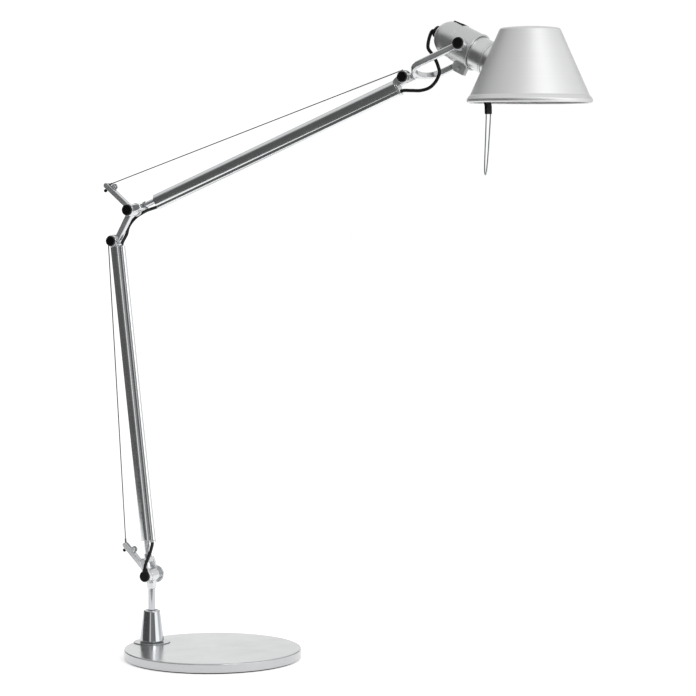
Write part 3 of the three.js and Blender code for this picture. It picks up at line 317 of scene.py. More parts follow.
def prism(
    outline: np.ndarray,
    low: float,
    high: float,
    edge: float = 0.6,
    holes: Sequence[np.ndarray] = (),
    steps: int = 3,
) -> Shape:
    """An outline raised along local z, with both rims rounded to a quarter circle.

    Args:
        outline: counterclockwise rows of x and y.
        low: lower height.
        high: upper height.
        edge: radius of the rims.
        holes: outlines of straight holes through the body.
        steps: steps of each rim.
    Returns:
        A closed shape.
    """
    edge = min(edge, 0.45 * (high - low))
    support = max(0.12, 0.15 * edge)
    arc = [math.pi / 2 * k / steps for k in range(steps + 1)]
    rings = [(edge + support, low)]
    rings += [(edge * (1 - math.sin(a)), low + edge * (1 - math.cos(a))) for a in arc]
    rings += [(0, low + edge + support), (0, high - edge - support)]
    rings += [(edge * (1 - math.cos(a)), high - edge * (1 - math.sin(a))) for a in arc]
    rings += [(edge + support, high)]
    n = len(outline)
    layers = [np.column_stack([inset(outline, d), np.full(n, z)]) for d, z in rings]
    index = np.arange(len(rings) * n).reshape(len(rings), n)
    right = np.roll(index, -1, axis=1)
    faces = np.stack([index[:-1], right[:-1], right[1:], index[1:]], axis=-1).reshape(-1, 4).tolist()
    faces = [tuple(f) for f in faces]
    points = list(layers)
    sides = outline - np.roll(outline, 1, axis=0)
    ahead = np.roll(sides, -1, axis=0)
    hollow = (sides[:, 0] * ahead[:, 1] - sides[:, 1] * ahead[:, 0] < -1e-6).any()
    if not holes and not hollow:
        faces += [tuple(index[0, ::-1].tolist()), tuple(index[-1].tolist())]
        return Shape(np.vstack(points), faces)
    count = len(rings) * n
    loops = {low: [index[0]], high: [index[-1]]}
    for hole in holes:
        m = len(hole)
        pair = []
        for z in (low, high):
            points.append(np.column_stack([hole, np.full(m, z)]))
            ring = np.arange(count, count + m)
            pair.append(ring)
            loops[z].append(ring)
            count += m
        a, b = pair
        faces += [
            (int(a[i]), int(b[i]), int(b[(i + 1) % m]), int(a[(i + 1) % m])) for i in range(m)
        ]
    stacked = np.vstack(points)
    for z, rings_here in loops.items():
        flat = [[Vector(stacked[i]) for i in ring] for ring in rings_here]
        lookup = np.concatenate(rings_here)
        for tri in tessellate_polygon(flat):
            t = tuple(int(lookup[i]) for i in tri)
            faces.append(t[::-1] if z == low else t)
    return Shape(stacked, faces)


def circle(r: float, centre: Sequence[float] = (0, 0), count: int = 64) -> np.ndarray:
    """A round outline.

    Args:
        r: radius.
        centre: its middle.
        count: number of points.
    Returns:
        Rows of x and y, counterclockwise.
    """
    a = np.linspace(0, 2 * math.pi, count, endpoint=False)
    return np.column_stack([centre[0] + r * np.cos(a), centre[1] + r * np.sin(a)])


def stadium(
    p: Sequence[float], q: Sequence[float], width: float, tip: float = 0, count: int = 20
) -> np.ndarray:
    """A bar with round ends from p to q, which may taper.

    Args:
        p: middle of the first end.
        q: middle of the second end.
        width: width at the first end.
        tip: width at the second end, or 0 for the same.
        count: points round each end.
    Returns:
        Rows of x and y, counterclockwise.
    """
    p, q = np.array(p, float), np.array(q, float)
    heading = math.atan2(q[1] - p[1], q[0] - p[0])
    a = np.linspace(heading - math.pi / 2, heading + math.pi / 2, count)
    end = (tip or width) / 2
    front = np.column_stack([q[0] + end * np.cos(a), q[1] + end * np.sin(a)])
    back = np.column_stack([p[0] - width / 2 * np.cos(a), p[1] - width / 2 * np.sin(a)])
    return np.vstack([front, back])


def plate(outline: np.ndarray, near: float, far: float, edge: float = 0.7, holes: Sequence = ()) -> Shape:
    """An outline in the X and Z directions, given thickness along Y.

    Args:
        outline: rows of X and Z.
        near: lower Y.
        far: higher Y.
        edge: radius of the rims.
        holes: outlines of straight holes.
    Returns:
        A closed shape.
    """
    return prism(outline, -far, -near, edge, holes).placed(UPRIGHT)


def block(x: Sequence[float], y: Sequence[float], z: Sequence[float], edge: float = 0.8) -> Shape:
    """A box with rounded edges.

    Args:
        x: low and high x.
        y: low and high y.
        z: low and high z.
        edge: radius of its edges.
    Returns:
        A closed shape.
    """
    corners = [(x[0], y[0], edge), (x[1], y[0], edge), (x[1], y[1], edge), (x[0], y[1], edge)]
    return prism(rounded(corners, closed=True, steps=4), z[0], z[1], edge * 0.8)


def drum(r: float, low: float, high: float, edge: float = 0.5, sides: int = 72) -> Shape:
    """A round bar along local z with rounded rims.

    Args:
        r: radius.
        low: lower height.
        high: upper height.
        edge: radius of the rims.
        sides: steps round.
    Returns:
        A closed shape.
    """
    return lathe(rounded([(0, low), (r, low, edge), (r, high, edge), (0, high)]), sides)


def sleeve(outer: float, inner: float, low: float, high: float, edge: float = 0.4, sides: int = 72) -> Shape:
    """A ring along local z with rounded rims.

    Args:
        outer: outer radius.
        inner: inner radius.
        low: lower height.
        high: upper height.
        edge: radius of the rims.
        sides: steps round.
    Returns:
        A closed shape.
    """
    corners = [(inner, low, edge), (outer, low, edge), (outer, high, edge), (inner, high, edge)]
    return lathe(rounded(corners, closed=True, steps=3), sides, loop=True)


def smooth_path(points: np.ndarray, per_span: int = 12) -> np.ndarray:
    """A centripetal Catmull-Rom curve through points.

    Args:
        points: rows of x, y and z.
        per_span: steps between neighbours.
    Returns:
        Rows along the curve.
    """
    p = np.vstack([2 * points[0] - points[1], points, 2 * points[-1] - points[-2]])
    out = []
    for i in range(1, len(p) - 2):
        q = p[i - 1 : i + 3]
        knots = np.concatenate([[0], np.cumsum(np.linalg.norm(np.diff(q, axis=0), axis=1) ** 0.5)])
        t = np.linspace(knots[1], knots[2], per_span, endpoint=False)[:, None]

        def mix(a: np.ndarray, b: np.ndarray, ta: float, tb: float) -> np.ndarray:
            return ((tb - t) * a + (t - ta) * b) / (tb - ta)

        a1, a2, a3 = (mix(q[j], q[j + 1], knots[j], knots[j + 1]) for j in range(3))
        b1, b2 = mix(a1, a2, knots[0], knots[2]), mix(a2, a3, knots[1], knots[3])
        out.append(mix(b1, b2, knots[1], knots[2]))
    return np.vstack(out + [points[-1:]])


def sweep(section: np.ndarray, path: np.ndarray, up: Sequence[float], cap: float = 0.6) -> Shape:
    """Carries a section along a path, always square to it, and rounds both ends.

    Point (s, a) is path(s) + section_x(a) * side(s) + section_y(a) * top(s), where side and top
    are carried along without twist. Towards each end the section shrinks on a quarter circle.

    Args:
        section: counterclockwise rows of two coordinates.
        path: rows of x, y and z.
        up: direction that the section's second coordinate starts nearest to.
        cap: length of the rounded ends.
    Returns:
        A closed shape.
    """
    tangents = np.gradient(path, axis=0)
    tangents /= np.linalg.norm(tangents, axis=1, keepdims=True)
    tops = []
    top = np.array(up, float)
    for t in tangents:
        top = top - (top @ t) * t
        top /= np.linalg.norm(top)
        tops.append(top)
    tops = np.array(tops)
    arc = np.array([math.pi / 2 * k / 4 for k in range(4)])
    head = path[0] - tangents[0] * (np.cos(arc) * cap)[:, None] + tangents[0] * cap
    tail = path[-1] + tangents[-1] * (np.cos(arc[::-1]) * cap)[:, None] - tangents[-1] * cap
    shrink = 1 - cap / np.abs(section).max() * (1 - np.sin(arc))
    inner = path[2:-2]
    spine = np.vstack([head, inner, tail])
    sizes = np.concatenate([shrink, np.ones(len(inner)), shrink[::-1]])
    t_all = np.vstack([np.repeat(tangents[:1], 4, 0), tangents[2:-2], np.repeat(tangents[-1:], 4, 0)])
    u_all = np.vstack([np.repeat(tops[:1], 4, 0), tops[2:-2], np.repeat(tops[-1:], 4, 0)])
    side = np.cross(u_all, t_all)
    rings = (
        spine[:, None]
        + section[None, :, :1] * side[:, None] * sizes[:, None, None]
        + section[None, :, 1:] * u_all[:, None] * sizes[:, None, None]
    )
    n, m = rings.shape[:2]
    index = np.arange(n * m).reshape(n, m)
    right = np.roll(index, -1, axis=1)
    faces = np.stack([index[:-1], right[:-1], right[1:], index[1:]], axis=-1).reshape(-1, 4).tolist()
    faces = [tuple(f) for f in faces] + [tuple(index[0, ::-1].tolist()), tuple(index[-1].tolist())]
    return Shape(rings.reshape(-1, 3), faces)


def tube(points: Sequence, r: float, sides: int = 16, per_span: int = 12) -> Shape:
    """A round wire or lead through points.

    Args:
        points: rows of x, y and z.
        r: radius.
        sides: steps round.
        per_span: steps between neighbouring points.
    Returns:
        A closed shape.
    """
    path = smooth_path(np.array(points, float), per_span)
    return sweep(circle(r, count=sides), path, (0.02, 1, 0.03), r * 0.9)


# ------------------------------------------------------------------ materials
def linear(colour: str) -> tuple:
    """Turns an sRGB hex colour into linear values.

    Args:
        colour: such as "#C8CACC".
    Returns:
        Red, green, blue and alpha.
    """
    parts = [int(colour[i : i + 2], 16) / 255 for i in (1, 3, 5)]
    return tuple(c / 12.92 if c <= 0.04045 else ((c + 0.055) / 1.055) ** 2.4 for c in parts) + (1.0,)


class Graph:
    """A material's node tree with one helper that adds a node."""

    def __init__(self, name: str) -> None:
        """Makes an empty material.

        Args:
            name: the material's name.
        """
        self.material = bpy.data.materials.new(name)
        self.material.use_nodes = True
        self.tree = self.material.node_tree
        self.tree.nodes.clear()
        self.output = self.tree.nodes.new("ShaderNodeOutputMaterial")

    def add(self, kind: str, links: Optional[dict] = None, values: Optional[dict] = None, **settings):
        """Adds a node with its settings, socket values and incoming links.

        Args:
            kind: the node's type without its "ShaderNode" prefix.
            links: input name to output socket.
            values: input name to value.
            settings: attributes of the node.
        Returns:
            The node.
        """
        node = self.tree.nodes.new("ShaderNode" + kind)
        for key, value in settings.items():
            setattr(node, key, value)
        for key, value in (values or {}).items():
            node.inputs[key].default_value = value
        for key, socket in (links or {}).items():
            self.tree.links.new(socket, node.inputs[key])
        return node

    def coordinates(self, scale: Sequence[float]):
        """Object coordinates in millimetres, stretched by a scale.

        Args:
            scale: cells per millimetre along each axis.
        Returns:
            A vector socket.
        """
        where = self.add("TexCoord")
        mapping = self.add("Mapping", {"Vector": where.outputs["Object"]})
        mapping.inputs["Scale"].default_value = [s / MM for s in scale]
        return mapping.outputs["Vector"]

    def noise(self, scale: Sequence[float], detail: float = 3, rough: float = 0.55):
        """Noise in object space.

        Args:
            scale: cells per millimetre along each axis.
            detail: octaves.
            rough: how strong the fine octaves are.
        Returns:
            A value socket from 0 to 1.
        """
        node = self.add(
            "TexNoise",
            {"Vector": self.coordinates(scale)},
            {"Scale": 1.0, "Detail": detail, "Roughness": rough},
        )
        return node.outputs["Fac"]

    def span(self, socket, low: float, high: float):
        """Maps 0.3 to 0.7 of a noise onto a range.

        Args:
            socket: the noise.
            low: value at 0.3.
            high: value at 0.7.
        Returns:
            A value socket.
        """
        node = self.add(
            "MapRange",
            {"Value": socket},
            {"From Min": 0.3, "From Max": 0.7, "To Min": low, "To Max": high},
        )
        return node.outputs["Result"]

    def bump(self, height, strength: float, distance_mm: float):
        """A bump from a height socket.

        Args:
            height: the socket.
            strength: 0 to 1.
            distance_mm: real height of the bump.
        Returns:
            A normal socket.
        """
        node = self.add("Bump", {"Height": height}, {"Strength": strength, "Distance": distance_mm * MM})
        return node.outputs["Normal"]

    def colours(self, factor, low: str, high: str):
        """Mixes two colours by a factor.

        Args:
            factor: value socket.
            low: colour at 0.
            high: colour at 1.
        Returns:
            A colour socket.
        """
        node = self.add("Mix", {"Factor": factor}, data_type="RGBA")
        node.inputs[6].default_value, node.inputs[7].default_value = linear(low), linear(high)
        return node.outputs[2]

    def surface(self, links: dict, values: dict) -> bpy.types.Material:
        """Ends the graph in a principled shader.

        Args:
            links: input name to socket.
            values: input name to value.
        Returns:
            The material.
        """
        shader = self.add("BsdfPrincipled", links, values)
        self.tree.links.new(shader.outputs["BSDF"], self.output.inputs["Surface"])
        return self.material


@dataclass(frozen=True)
class DrawnMetal:
    """Polished or satin metal with draw lines along one direction and faint handling marks.

    Attributes:
        name: material name.
        dark: colour in the hollows.
        light: colour on the high spots.
        rough: low and high roughness.
        grain: cells per millimetre along each axis; small along the draw direction.
        depth: height of the lines in millimetres.
        metallic: below 1 where a clear lacquer scatters part of the light.
    """

    name: str
    dark: str
    light: str
    rough: tuple
    grain: tuple
    depth: float = 0.004
    metallic: float = 1.0

    def build(self) -> bpy.types.Material:
        """Makes the material.

        Returns:
            The material.
        """
        g = Graph(self.name)
        lines = g.noise(self.grain, 2, 0.5)
        smudge = g.noise((0.035, 0.035, 0.035), 4, 0.6)  # hand-sized cloudiness
        both = g.add("Math", {0: lines, 1: smudge}, operation="MULTIPLY").outputs[0]
        return g.surface(
            {
                "Base Color": g.colours(smudge, self.dark, self.light),
                "Roughness": g.span(smudge, *self.rough),
                "Normal": g.bump(both, 0.5, self.depth),
            },
            {"Metallic": self.metallic},
        )


@dataclass(frozen=True)
class SpunMetal:
    """Satin anodised metal with fine lathe lines round an axis.

    Attributes:
        name: material name.
        dark: colour in the lines.
        light: colour between them.
        rough: low and high roughness.
        centre: a point of the axis in millimetres.
        pitch: spacing of the lines in millimetres.
        depth: height of the lines in millimetres.
    """

    name: str
    dark: str
    light: str
    rough: tuple
    centre: tuple
    pitch: float = 0.5
    depth: float = 0.003

    def build(self) -> bpy.types.Material:
        """Makes the material.

        Returns:
            The material.
        """
        g = Graph(self.name)
        where = g.add("TexCoord").outputs["Object"]
        local = g.add("VectorMath", {0: where}, operation="SUBTRACT")
        local.inputs[1].default_value = [c * MM for c in self.centre]
        parts = g.add("SeparateXYZ", {0: local.outputs[0]})
        flat = g.add("CombineXYZ", {"X": parts.outputs["X"], "Y": parts.outputs["Y"]})
        reach = g.add("VectorMath", {0: flat.outputs[0]}, operation="LENGTH")
        ring = g.add(
            "CombineXYZ", {"X": reach.outputs["Value"], "Y": parts.outputs["Z"]}
        )
        lines = g.add(
            "TexNoise",
            {"Vector": ring.outputs[0]},
            {"Scale": 1 / (self.pitch * MM), "Detail": 2.0, "Roughness": 0.6},
        ).outputs["Fac"]
        smudge = g.noise((0.03, 0.03, 0.03), 3, 0.55)
        return g.surface(
            {
                "Base Color": g.colours(lines, self.dark, self.light),
                "Roughness": g.span(smudge, *self.rough),
                "Normal": g.bump(lines, 0.35, self.depth),
            },
            {"Metallic": 1.0, "Anisotropic": 0.25},
        )


@dataclass(frozen=True)
class SilverPaint:
    """Satin silver lacquer: fine metal flakes under a soft clear skin."""

    name: str = "silver_lacquer"

    def build(self) -> bpy.types.Material:
        """Makes the material.

        Returns:
            The material.
        """
        g = Graph(self.name)
        flakes = g.noise((6.0, 6.0, 6.0), 2, 0.7)
        skin = g.noise((0.6, 0.6, 0.6), 3, 0.5)  # slight orange peel
        return g.surface(
            {
                "Base Color": g.colours(flakes, "#C4C6C6", "#DBDCDC"),
                "Roughness": g.span(skin, 0.3, 0.38),
                "Normal": g.bump(skin, 0.2, 0.01),
            },
            {"Metallic": 0.85, "Coat Weight": 0.2, "Coat Roughness": 0.25},
        )


@dataclass(frozen=True)
class Moulded:
    """Moulded plastic, rubber or glaze with a fine grain.

    Attributes:
        name: material name.
        dark: colour in the hollows.
        light: colour on the high spots.
        rough: low and high roughness.
        grain_mm: size of one grain.
        depth: height of the grain in millimetres.
        coat: weight of a clear skin.
        gloss: how strongly it mirrors, 0.5 for plain plastic.
    """

    name: str
    dark: str
    light: str
    rough: tuple
    grain_mm: float = 0.25
    depth: float = 0.01
    coat: float = 0.0
    gloss: float = 0.5

    def build(self) -> bpy.types.Material:
        """Makes the material.

        Returns:
            The material.
        """
        g = Graph(self.name)
        size = 1 / self.grain_mm
        grain = g.noise((size, size, size), 2, 0.6)
        wear = g.noise((0.08, 0.08, 0.08), 3, 0.6)
        return g.surface(
            {
                "Base Color": g.colours(wear, self.dark, self.light),
                "Roughness": g.span(wear, *self.rough),
                "Normal": g.bump(grain, 0.35, self.depth),
            },
            {"IOR": 1.5, "Coat Weight": self.coat, "Specular IOR Level": self.gloss},
        )


@dataclass(frozen=True)
class FrostedGlass:
    """Bulb glass with a fine white powder inside."""

    name: str = "frosted_bulb_glass"

    def build(self) -> bpy.types.Material:
        """Makes the material.

        Returns:
            The material.
        """
        g = Graph(self.name)
        powder = g.noise((0.4, 0.4, 0.4), 3, 0.5)
        return g.surface(
            {"Base Color": g.colours(powder, "#ECEAE4", "#F8F7F3"), "Roughness": g.span(powder, 0.16, 0.24)},
            {"IOR": 1.5, "Subsurface Weight": 0.2, "Transmission Weight": 0.15},
        )


FINE = 9.0  # lines per millimetre across the draw direction
FINISHES = {
    "tube": DrawnMetal("drawn_polished_aluminium", "#D9DBDD", "#EDEEEF", (0.13, 0.2), (FINE, FINE, 0.02)),
    "polished": DrawnMetal(
        "lacquered_die_cast_aluminium", "#D2D4D6", "#E8E9EA", (0.14, 0.22), (1.4, 1.4, 1.4), 0.003, 0.78
    ),
    "mirror": DrawnMetal(
        "turned_bright_aluminium", "#B4B7BA", "#C8CACC", (0.05, 0.09), (0.05, 0.05, FINE), 0.002
    ),
    "base": SpunMetal("spun_satin_aluminium_base", "#B6B7B8", "#C3C4C5", (0.2, 0.26), (0, 0, 0), 0.35),
    "socket": SpunMetal("spun_satin_socket_plate", "#B2B3B4", "#C0C1C2", (0.2, 0.26), (POST_X, 0, 0), 0.35),
    "shade": SpunMetal(
        "spun_satin_aluminium_shade",
        "#DEDFDF",
        "#E9E9E9",
        (0.46, 0.52),
        tuple(at(SHADE, 0, 0, 0)),
        0.4,
    ),
    "cup": SpunMetal("spun_satin_cup", "#D6D8D8", "#E4E5E5", (0.3, 0.36), tuple(at(HEAD, 0, 0, 0)), 0.4),
    "paint": SilverPaint(),
    "steel": DrawnMetal("zinc_plated_steel", "#8C9093", "#A7ABAE", (0.24, 0.34), (2.0, 2.0, 2.0), 0.004),
    "cable": DrawnMetal("stranded_steel_cable", "#5C5F61", "#808386", (0.4, 0.5), (1.2, 1.2, 2.4), 0.06),
    "black": Moulded("black_moulded_nylon", "#070708", "#0F0F11", (0.34, 0.46), gloss=0.16),
    "rubber": Moulded("black_rubber", "#090909", "#131313", (0.55, 0.7), 0.4, 0.015, gloss=0.25),
    "lead": Moulded("black_pvc_lead", "#0A0A0B", "#151517", (0.38, 0.5), 0.5, 0.01, gloss=0.25),
    "porcelain": Moulded("glazed_porcelain", "#E9E5DC", "#F3F0E9", (0.12, 0.2), 1.5, 0.01, 0.4),
    "brass": DrawnMetal("nickelled_brass_cap", "#B39A63", "#C7AE77", (0.2, 0.3), (1.0, 1.0, 1.0), 0.003),
    "bulb": FrostedGlass(),
    "iron": Moulded("cast_iron_weight", "#2E2E2F", "#3B3B3C", (0.6, 0.75), 0.8, 0.05),
}
SLOTS = {  # the material slot that each finish usually fills
    "polished": "polished_aluminium",
    "mirror": "polished_aluminium",
    "base": "base_aluminium",
    "socket": "base_aluminium",
    "rubber": "black_rubber",
    "lead": "black_rubber",
    "black": "black_plastic",
    "steel": "steel",
    "cable": "steel",
    "tube": "tube_aluminium",
    "paint": "head_paint",
    "shade": "shade_aluminium",
    "cup": "shade_aluminium",
    "porcelain": "porcelain",
    "brass": "bulb_brass",
    "bulb": "bulb_glass",
}
_BUILT: dict = {}


def finish(key: str) -> bpy.types.Material:
    """The material for a key, built once.

    Args:
        key: a key of FINISHES.
    Returns:
        The material.
    """
    if key not in _BUILT:
        _BUILT[key] = FINISHES[key].build()
    return _BUILT[key]


# ------------------------------------------------------------------ pieces
@dataclass
class Piece:
    """One Blender object that stands for one or more nodes.

    Attributes:
        name: object name.
        shape: its surfaces, in millimetres in the shared frame.
        body: the body that it rides on, or the pair of bodies that it spans, in which case it stays baked in
            place.
        finish: key of its finish.
        nodes: the nodes that it stands for.
        cuts: closed shapes that are taken away.
        bend: start and end points of a bend, in millimetres. Not used.
        sharp: edges steeper than this, in degrees, stay sharp.
        slot: the material slot, if it isn't the usual one of its finish.
    """

    name: str
    shape: Shape
    body: object
    finish: str
    nodes: Sequence[str] = ()
    cuts: Sequence[Shape] = ()
    bend: Sequence = ()
    sharp: float = 32.0
    slot: str = ""

    def __post_init__(self) -> None:
        """Fills in the usual slot of the finish."""
        self.slot = self.slot or SLOTS[self.finish]

    def build(self) -> bpy.types.Object:
        """Makes the object, cuts it, shades it and hangs it in the frame.

        Returns:
            The object.
        """
        obj = as_object(self.name, self.shape)
        for i, tool in enumerate(self.cuts):
            carve(obj, as_object(f"{self.name}_cut{i}", tool))
        mesh = obj.data
        mesh.polygons.foreach_set("use_smooth", np.ones(len(mesh.polygons), bool))
        mesh.set_sharp_from_angle(angle=math.radians(self.sharp))
        mesh.materials.clear()
        mesh.materials.append(finish(self.finish))
        if isinstance(self.body, tuple):
            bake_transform(obj)
        else:
            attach(obj, self.body)
        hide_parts(*(self.nodes or (self.name,)))
        LOG.info("%s: %d faces", self.name, len(mesh.polygons))
        return obj


def as_object(name: str, shape: Shape) -> bpy.types.Object:
    """Writes a shape into a new object, in metres, with its normals outward.

    Args:
        name: object name.
        shape: the shape in millimetres.
    Returns:
        The object, linked to the scene.
    """
    mesh = bpy.data.meshes.new(name)
    mesh.from_pydata((shape.points * MM).tolist(), [], shape.faces)
    bm = bmesh.new()
    bm.from_mesh(mesh)
    bmesh.ops.recalc_face_normals(bm, faces=bm.faces)
    bm.to_mesh(mesh)
    bm.free()
    obj = bpy.data.objects.new(name, mesh)
    bpy.context.scene.collection.objects.link(obj)
    return obj


def carve(obj: bpy.types.Object, tool: bpy.types.Object) -> None:
    """Takes a tool's volume away from an object and removes the tool.

    Args:
        obj: the object that is cut.
        tool: the closed object that cuts it.
    """
    modifier = obj.modifiers.new("cut", "BOOLEAN")
    modifier.operation, modifier.solver, modifier.object = "DIFFERENCE", "EXACT", tool
    graph = bpy.context.evaluated_depsgraph_get()
    mesh = bpy.data.meshes.new_from_object(obj.evaluated_get(graph))
    obj.modifiers.clear()
    old, obj.data = obj.data, mesh
    bpy.data.meshes.remove(old)
    bpy.data.objects.remove(tool)


@dataclass
class Assembly:
    """A sub-assembly: it lists its pieces and builds them."""

    def pieces(self) -> list:
        """The pieces of the sub-assembly.

        Returns:
            A list of Piece.
        """
        return []

    def build(self) -> list:
        """Builds all pieces.

        Returns:
            The Blender objects.
        """
        return [p.build() for p in self.pieces()]


@dataclass
class Base(Assembly):
    """Weighted disc with a spun cover, its rubber pad, and the post's socket.

    Attributes:
        rim: radius of the cover's top edge.
    """

    rim: float = 1.3

    def pieces(self) -> list:
        """The cover, pad, plate and cone.

        Returns:
            A list of Piece.
        """
        wall, foot = BASE_R - COVER_WALL, PAD_H + GAP
        under = BASE_H - COVER_WALL
        cover = rounded(
            [
                (0, under),
                (wall, under, 1.0),
                (wall, foot),
                (BASE_R, foot, 0.4),
                (BASE_R, BASE_H, self.rim),
                (0, BASE_H),
            ],
            steps=8,
        )
        pad = rounded([(0, 0), (BASE_R - 2.5, 0, 0.3), (BASE_R - 2.5, PAD_H, 0.3), (0, PAD_H)])
        flat = BASE_H + GAP
        top = flat + 0.6
        bore = POST_R + GAP
        round_plate = rounded([(bore, flat), (PLATE_R, flat, 0.1), (PLATE_R, top, 0.35), (bore, top)], True)
        low, high = top + GAP, top + GAP + CONE_H
        cone = rounded(
            [
                (bore, low),
                (CONE_BOTTOM_R - 0.9, low, 0.3),
                (CONE_BOTTOM_R, low + 1.2, 0.8),
                (CONE_TOP_R, high, 1.5),
                (CONE_TOP_R - 2.6, high, 0.5),
                (CONE_TOP_R - 3.2, high - 0.9, 0.3),
                (bore, high - 0.9),
            ],
            closed=True,
            steps=6,
        )
        at_post = move(POST_X, 0, 0)
        return [
            Piece("base_disc_cover", lathe(cover, 256), "base", "base", ("base_cover",)),
            Piece("base_rubber_pad", lathe(pad, 160), "base", "rubber", ("foot_pad",)),
            Piece(
                "socket_washer",
                lathe(round_plate, 128, loop=True).placed(at_post),
                "base",
                "socket",
                ("socket_plate",),
            ),
            Piece(
                "socket_turned_cone",
                lathe(cone, 160, loop=True).placed(at_post),
                "base",
                "mirror",
                ("socket_cone",),
            ),
        ]


@dataclass(frozen=True)
class Lever:
    """Cable lever with a small guide wheel, in the X and Z directions of its frame.

    Attributes:
        root: where it starts.
        tip: where the cable is pinned.
    """

    root: tuple
    tip: tuple

    def wheel(self) -> np.ndarray:
        """Middle of the guide wheel.

        Returns:
            X and Z.
        """
        p, q = np.array(self.root), np.array(self.tip)
        u = (q - p) / np.linalg.norm(q - p)
        return p + u * WHEEL_ALONG + np.array((u[1], -u[0])) * WHEEL_OFF

    def body(self) -> Shape:
        """The bar, its forked tip, the wheel's two cheeks and the two pins.

        Returns:
            A closed shape.
        """
        p, q, w = np.array(self.root), np.array(self.tip), self.wheel()
        u = (q - p) / np.linalg.norm(q - p)
        half = LEVER_T / 2
        split = q - u * 8
        cheek_root = w - np.array((u[1], -u[0])) * WHEEL_OFF
        parts = [plate(stadium(p, split, LEVER_W - 0.5), -1.6, 1.6, 0.3)]
        for near, far in ((-half, -1.3), (1.3, half)):
            parts.append(plate(stadium(p, q, LEVER_W), near, far, 0.55))
        for near, far in ((-half + 0.3, -1.6), (1.6, half - 0.3)):
            parts.append(plate(stadium(cheek_root, w, 5.8, 5.2), near, far, 0.4))
        for middle in (w, q):
            rivet = drum(1.1, -half - 0.1, half + 0.1, 0.3, 24)
            parts.append(rivet.placed(move(middle[0], 0, middle[1]) @ ALONG_Y))
        return together(*parts)

    def wheel_shape(self) -> Shape:
        """The grooved wheel.

        Returns:
            A closed shape.
        """
        w = self.wheel()
        profile = rounded(
            [
                (1.3, -1.2),
                (WHEEL_R, -1.2, 0.2),
                (WHEEL_R, -0.7, 0.1),
                (WHEEL_R - 0.7, 0, 0.3),
                (WHEEL_R, 0.7, 0.1),
                (WHEEL_R, 1.2, 0.2),
                (1.3, 1.2),
            ],
            True,
        )
        return lathe(profile, 48, loop=True).placed(move(w[0], 0, w[1]) @ ALONG_Y)

    def stop(self) -> Shape:
        """The small ball that ends the cable below the tip.

        Returns:
            A closed shape.
        """
        a = np.linspace(-math.pi / 2, math.pi / 2, 13)
        ball = np.column_stack([2 * np.cos(a), 2 * np.sin(a)])
        ball[[0, -1], 0] = 0
        return lathe(ball, 24).placed(move(self.tip[0] - 1.9, 0, self.tip[1] - 5.9))


def cap_shape(r: float, face: float, away: float = -1) -> Shape:
    """A black cap with a raised rim and a shallow dish, on a face square to Y.

    Args:
        r: radius.
        face: Y of the face it sits on.
        away: -1 towards the near side, 1 towards the far side.
    Returns:
        A closed shape.
    """
    t = CAP_T
    profile = rounded(
        [
            (0, 0),
            (r, 0, 0.2),
            (r, t, 0.6),
            (r - 1.1, t, 0.2),
            (r - 1.4, t - 0.3, 0.2),
            (0, t - 0.3),
        ],
        steps=5,
    )
    outward = ALONG_Y @ turn(Axis.X, 180) if away < 0 else ALONG_Y
    return lathe(profile, 72).placed(move(0, face + away * GAP, 0) @ outward)


def disc_shape(far: float, r: float) -> Shape:
    """The domed friction disc on the far side.

    Args:
        far: Y of the face it sits on.
        r: its radius.
    Returns:
        A closed shape.
    """
    profile = rounded(
        [(0, 0), (r, 0, 0.3), (r, 2.2, 0.9), (r - 3.2, 3.9, 3.0), (0, 4.3)], steps=8
    )
    return lathe(profile, 96).placed(move(0, far + GAP, 0) @ ALONG_Y)


@dataclass(frozen=True)
class Clevis:
    """Arm foot that straddles a hub, with the arm along local z.

    Attributes:
        hub: near and far face of the hub.
        stem: radius of the stem.
        shoulder: height of the bridge.
        end: height where the stem ends.
        shift: sideways offset of the stem.
        disc: radius of the friction disc.
    """

    hub: tuple
    stem: float
    shoulder: float
    end: float
    shift: float
    disc: float

    @property
    def near(self) -> float:
        """Y of the outer near face."""
        return self.hub[0] - GAP - LEG_T

    @property
    def face(self) -> float:
        """Y of the rim that the cap sits on."""
        return self.near - CAP_PROUD

    @property
    def far(self) -> float:
        """Y of the outer far face."""
        return self.hub[1] + GAP + FAR_LEG_T

    def body(self) -> Shape:
        """Two legs, the bridge and the stem.

        Returns:
            A closed shape.
        """
        s, h = self.shift, self.shoulder
        line = stadium((0, 0), (s, h - 1.2), LEG_W + 1.2, LEG_W)
        near_leg = plate(line, self.near, self.near + LEG_T, 0.9)
        far_leg = plate(line, self.far - FAR_LEG_T, self.far, 0.8)
        eyes = [
            drum(HINGE_CAP_R + CAP_RIM, self.face, self.near + LEG_T, 0.35, 96),
            drum(HINGE_CAP_R + 0.4, self.far - FAR_LEG_T, self.far + 0.12, 0.6),
        ]
        bridge = block((s - 3.1, s + 3.1), (self.near + 0.2, self.far - 0.2), (h - 3.2, h + 2.6), 1.2)
        return together(
            near_leg,
            far_leg,
            bridge,
            *(e.placed(ALONG_Y) for e in eyes),
            drum(self.stem, h, self.end, 0.4, 64).placed(move(s, 0, 0)),
        )

    def screw(self) -> Shape:
        """The pin and the slotted disc on the far side.

        Returns:
            A closed shape.
        """
        pin = drum(PIN_R, self.near + 0.2, self.far + 0.5, 0.3, 32).placed(ALONG_Y)
        return together(disc_shape(self.far, self.disc), pin)

    def slot(self) -> Shape:
        """The volume of the disc's screwdriver slot.

        Returns:
            A closed shape.
        """
        y = self.far + GAP
        return block((-self.disc - 2, self.disc + 2), (y + 2.9, y + 8), (-0.7, 0.7), 0.1)


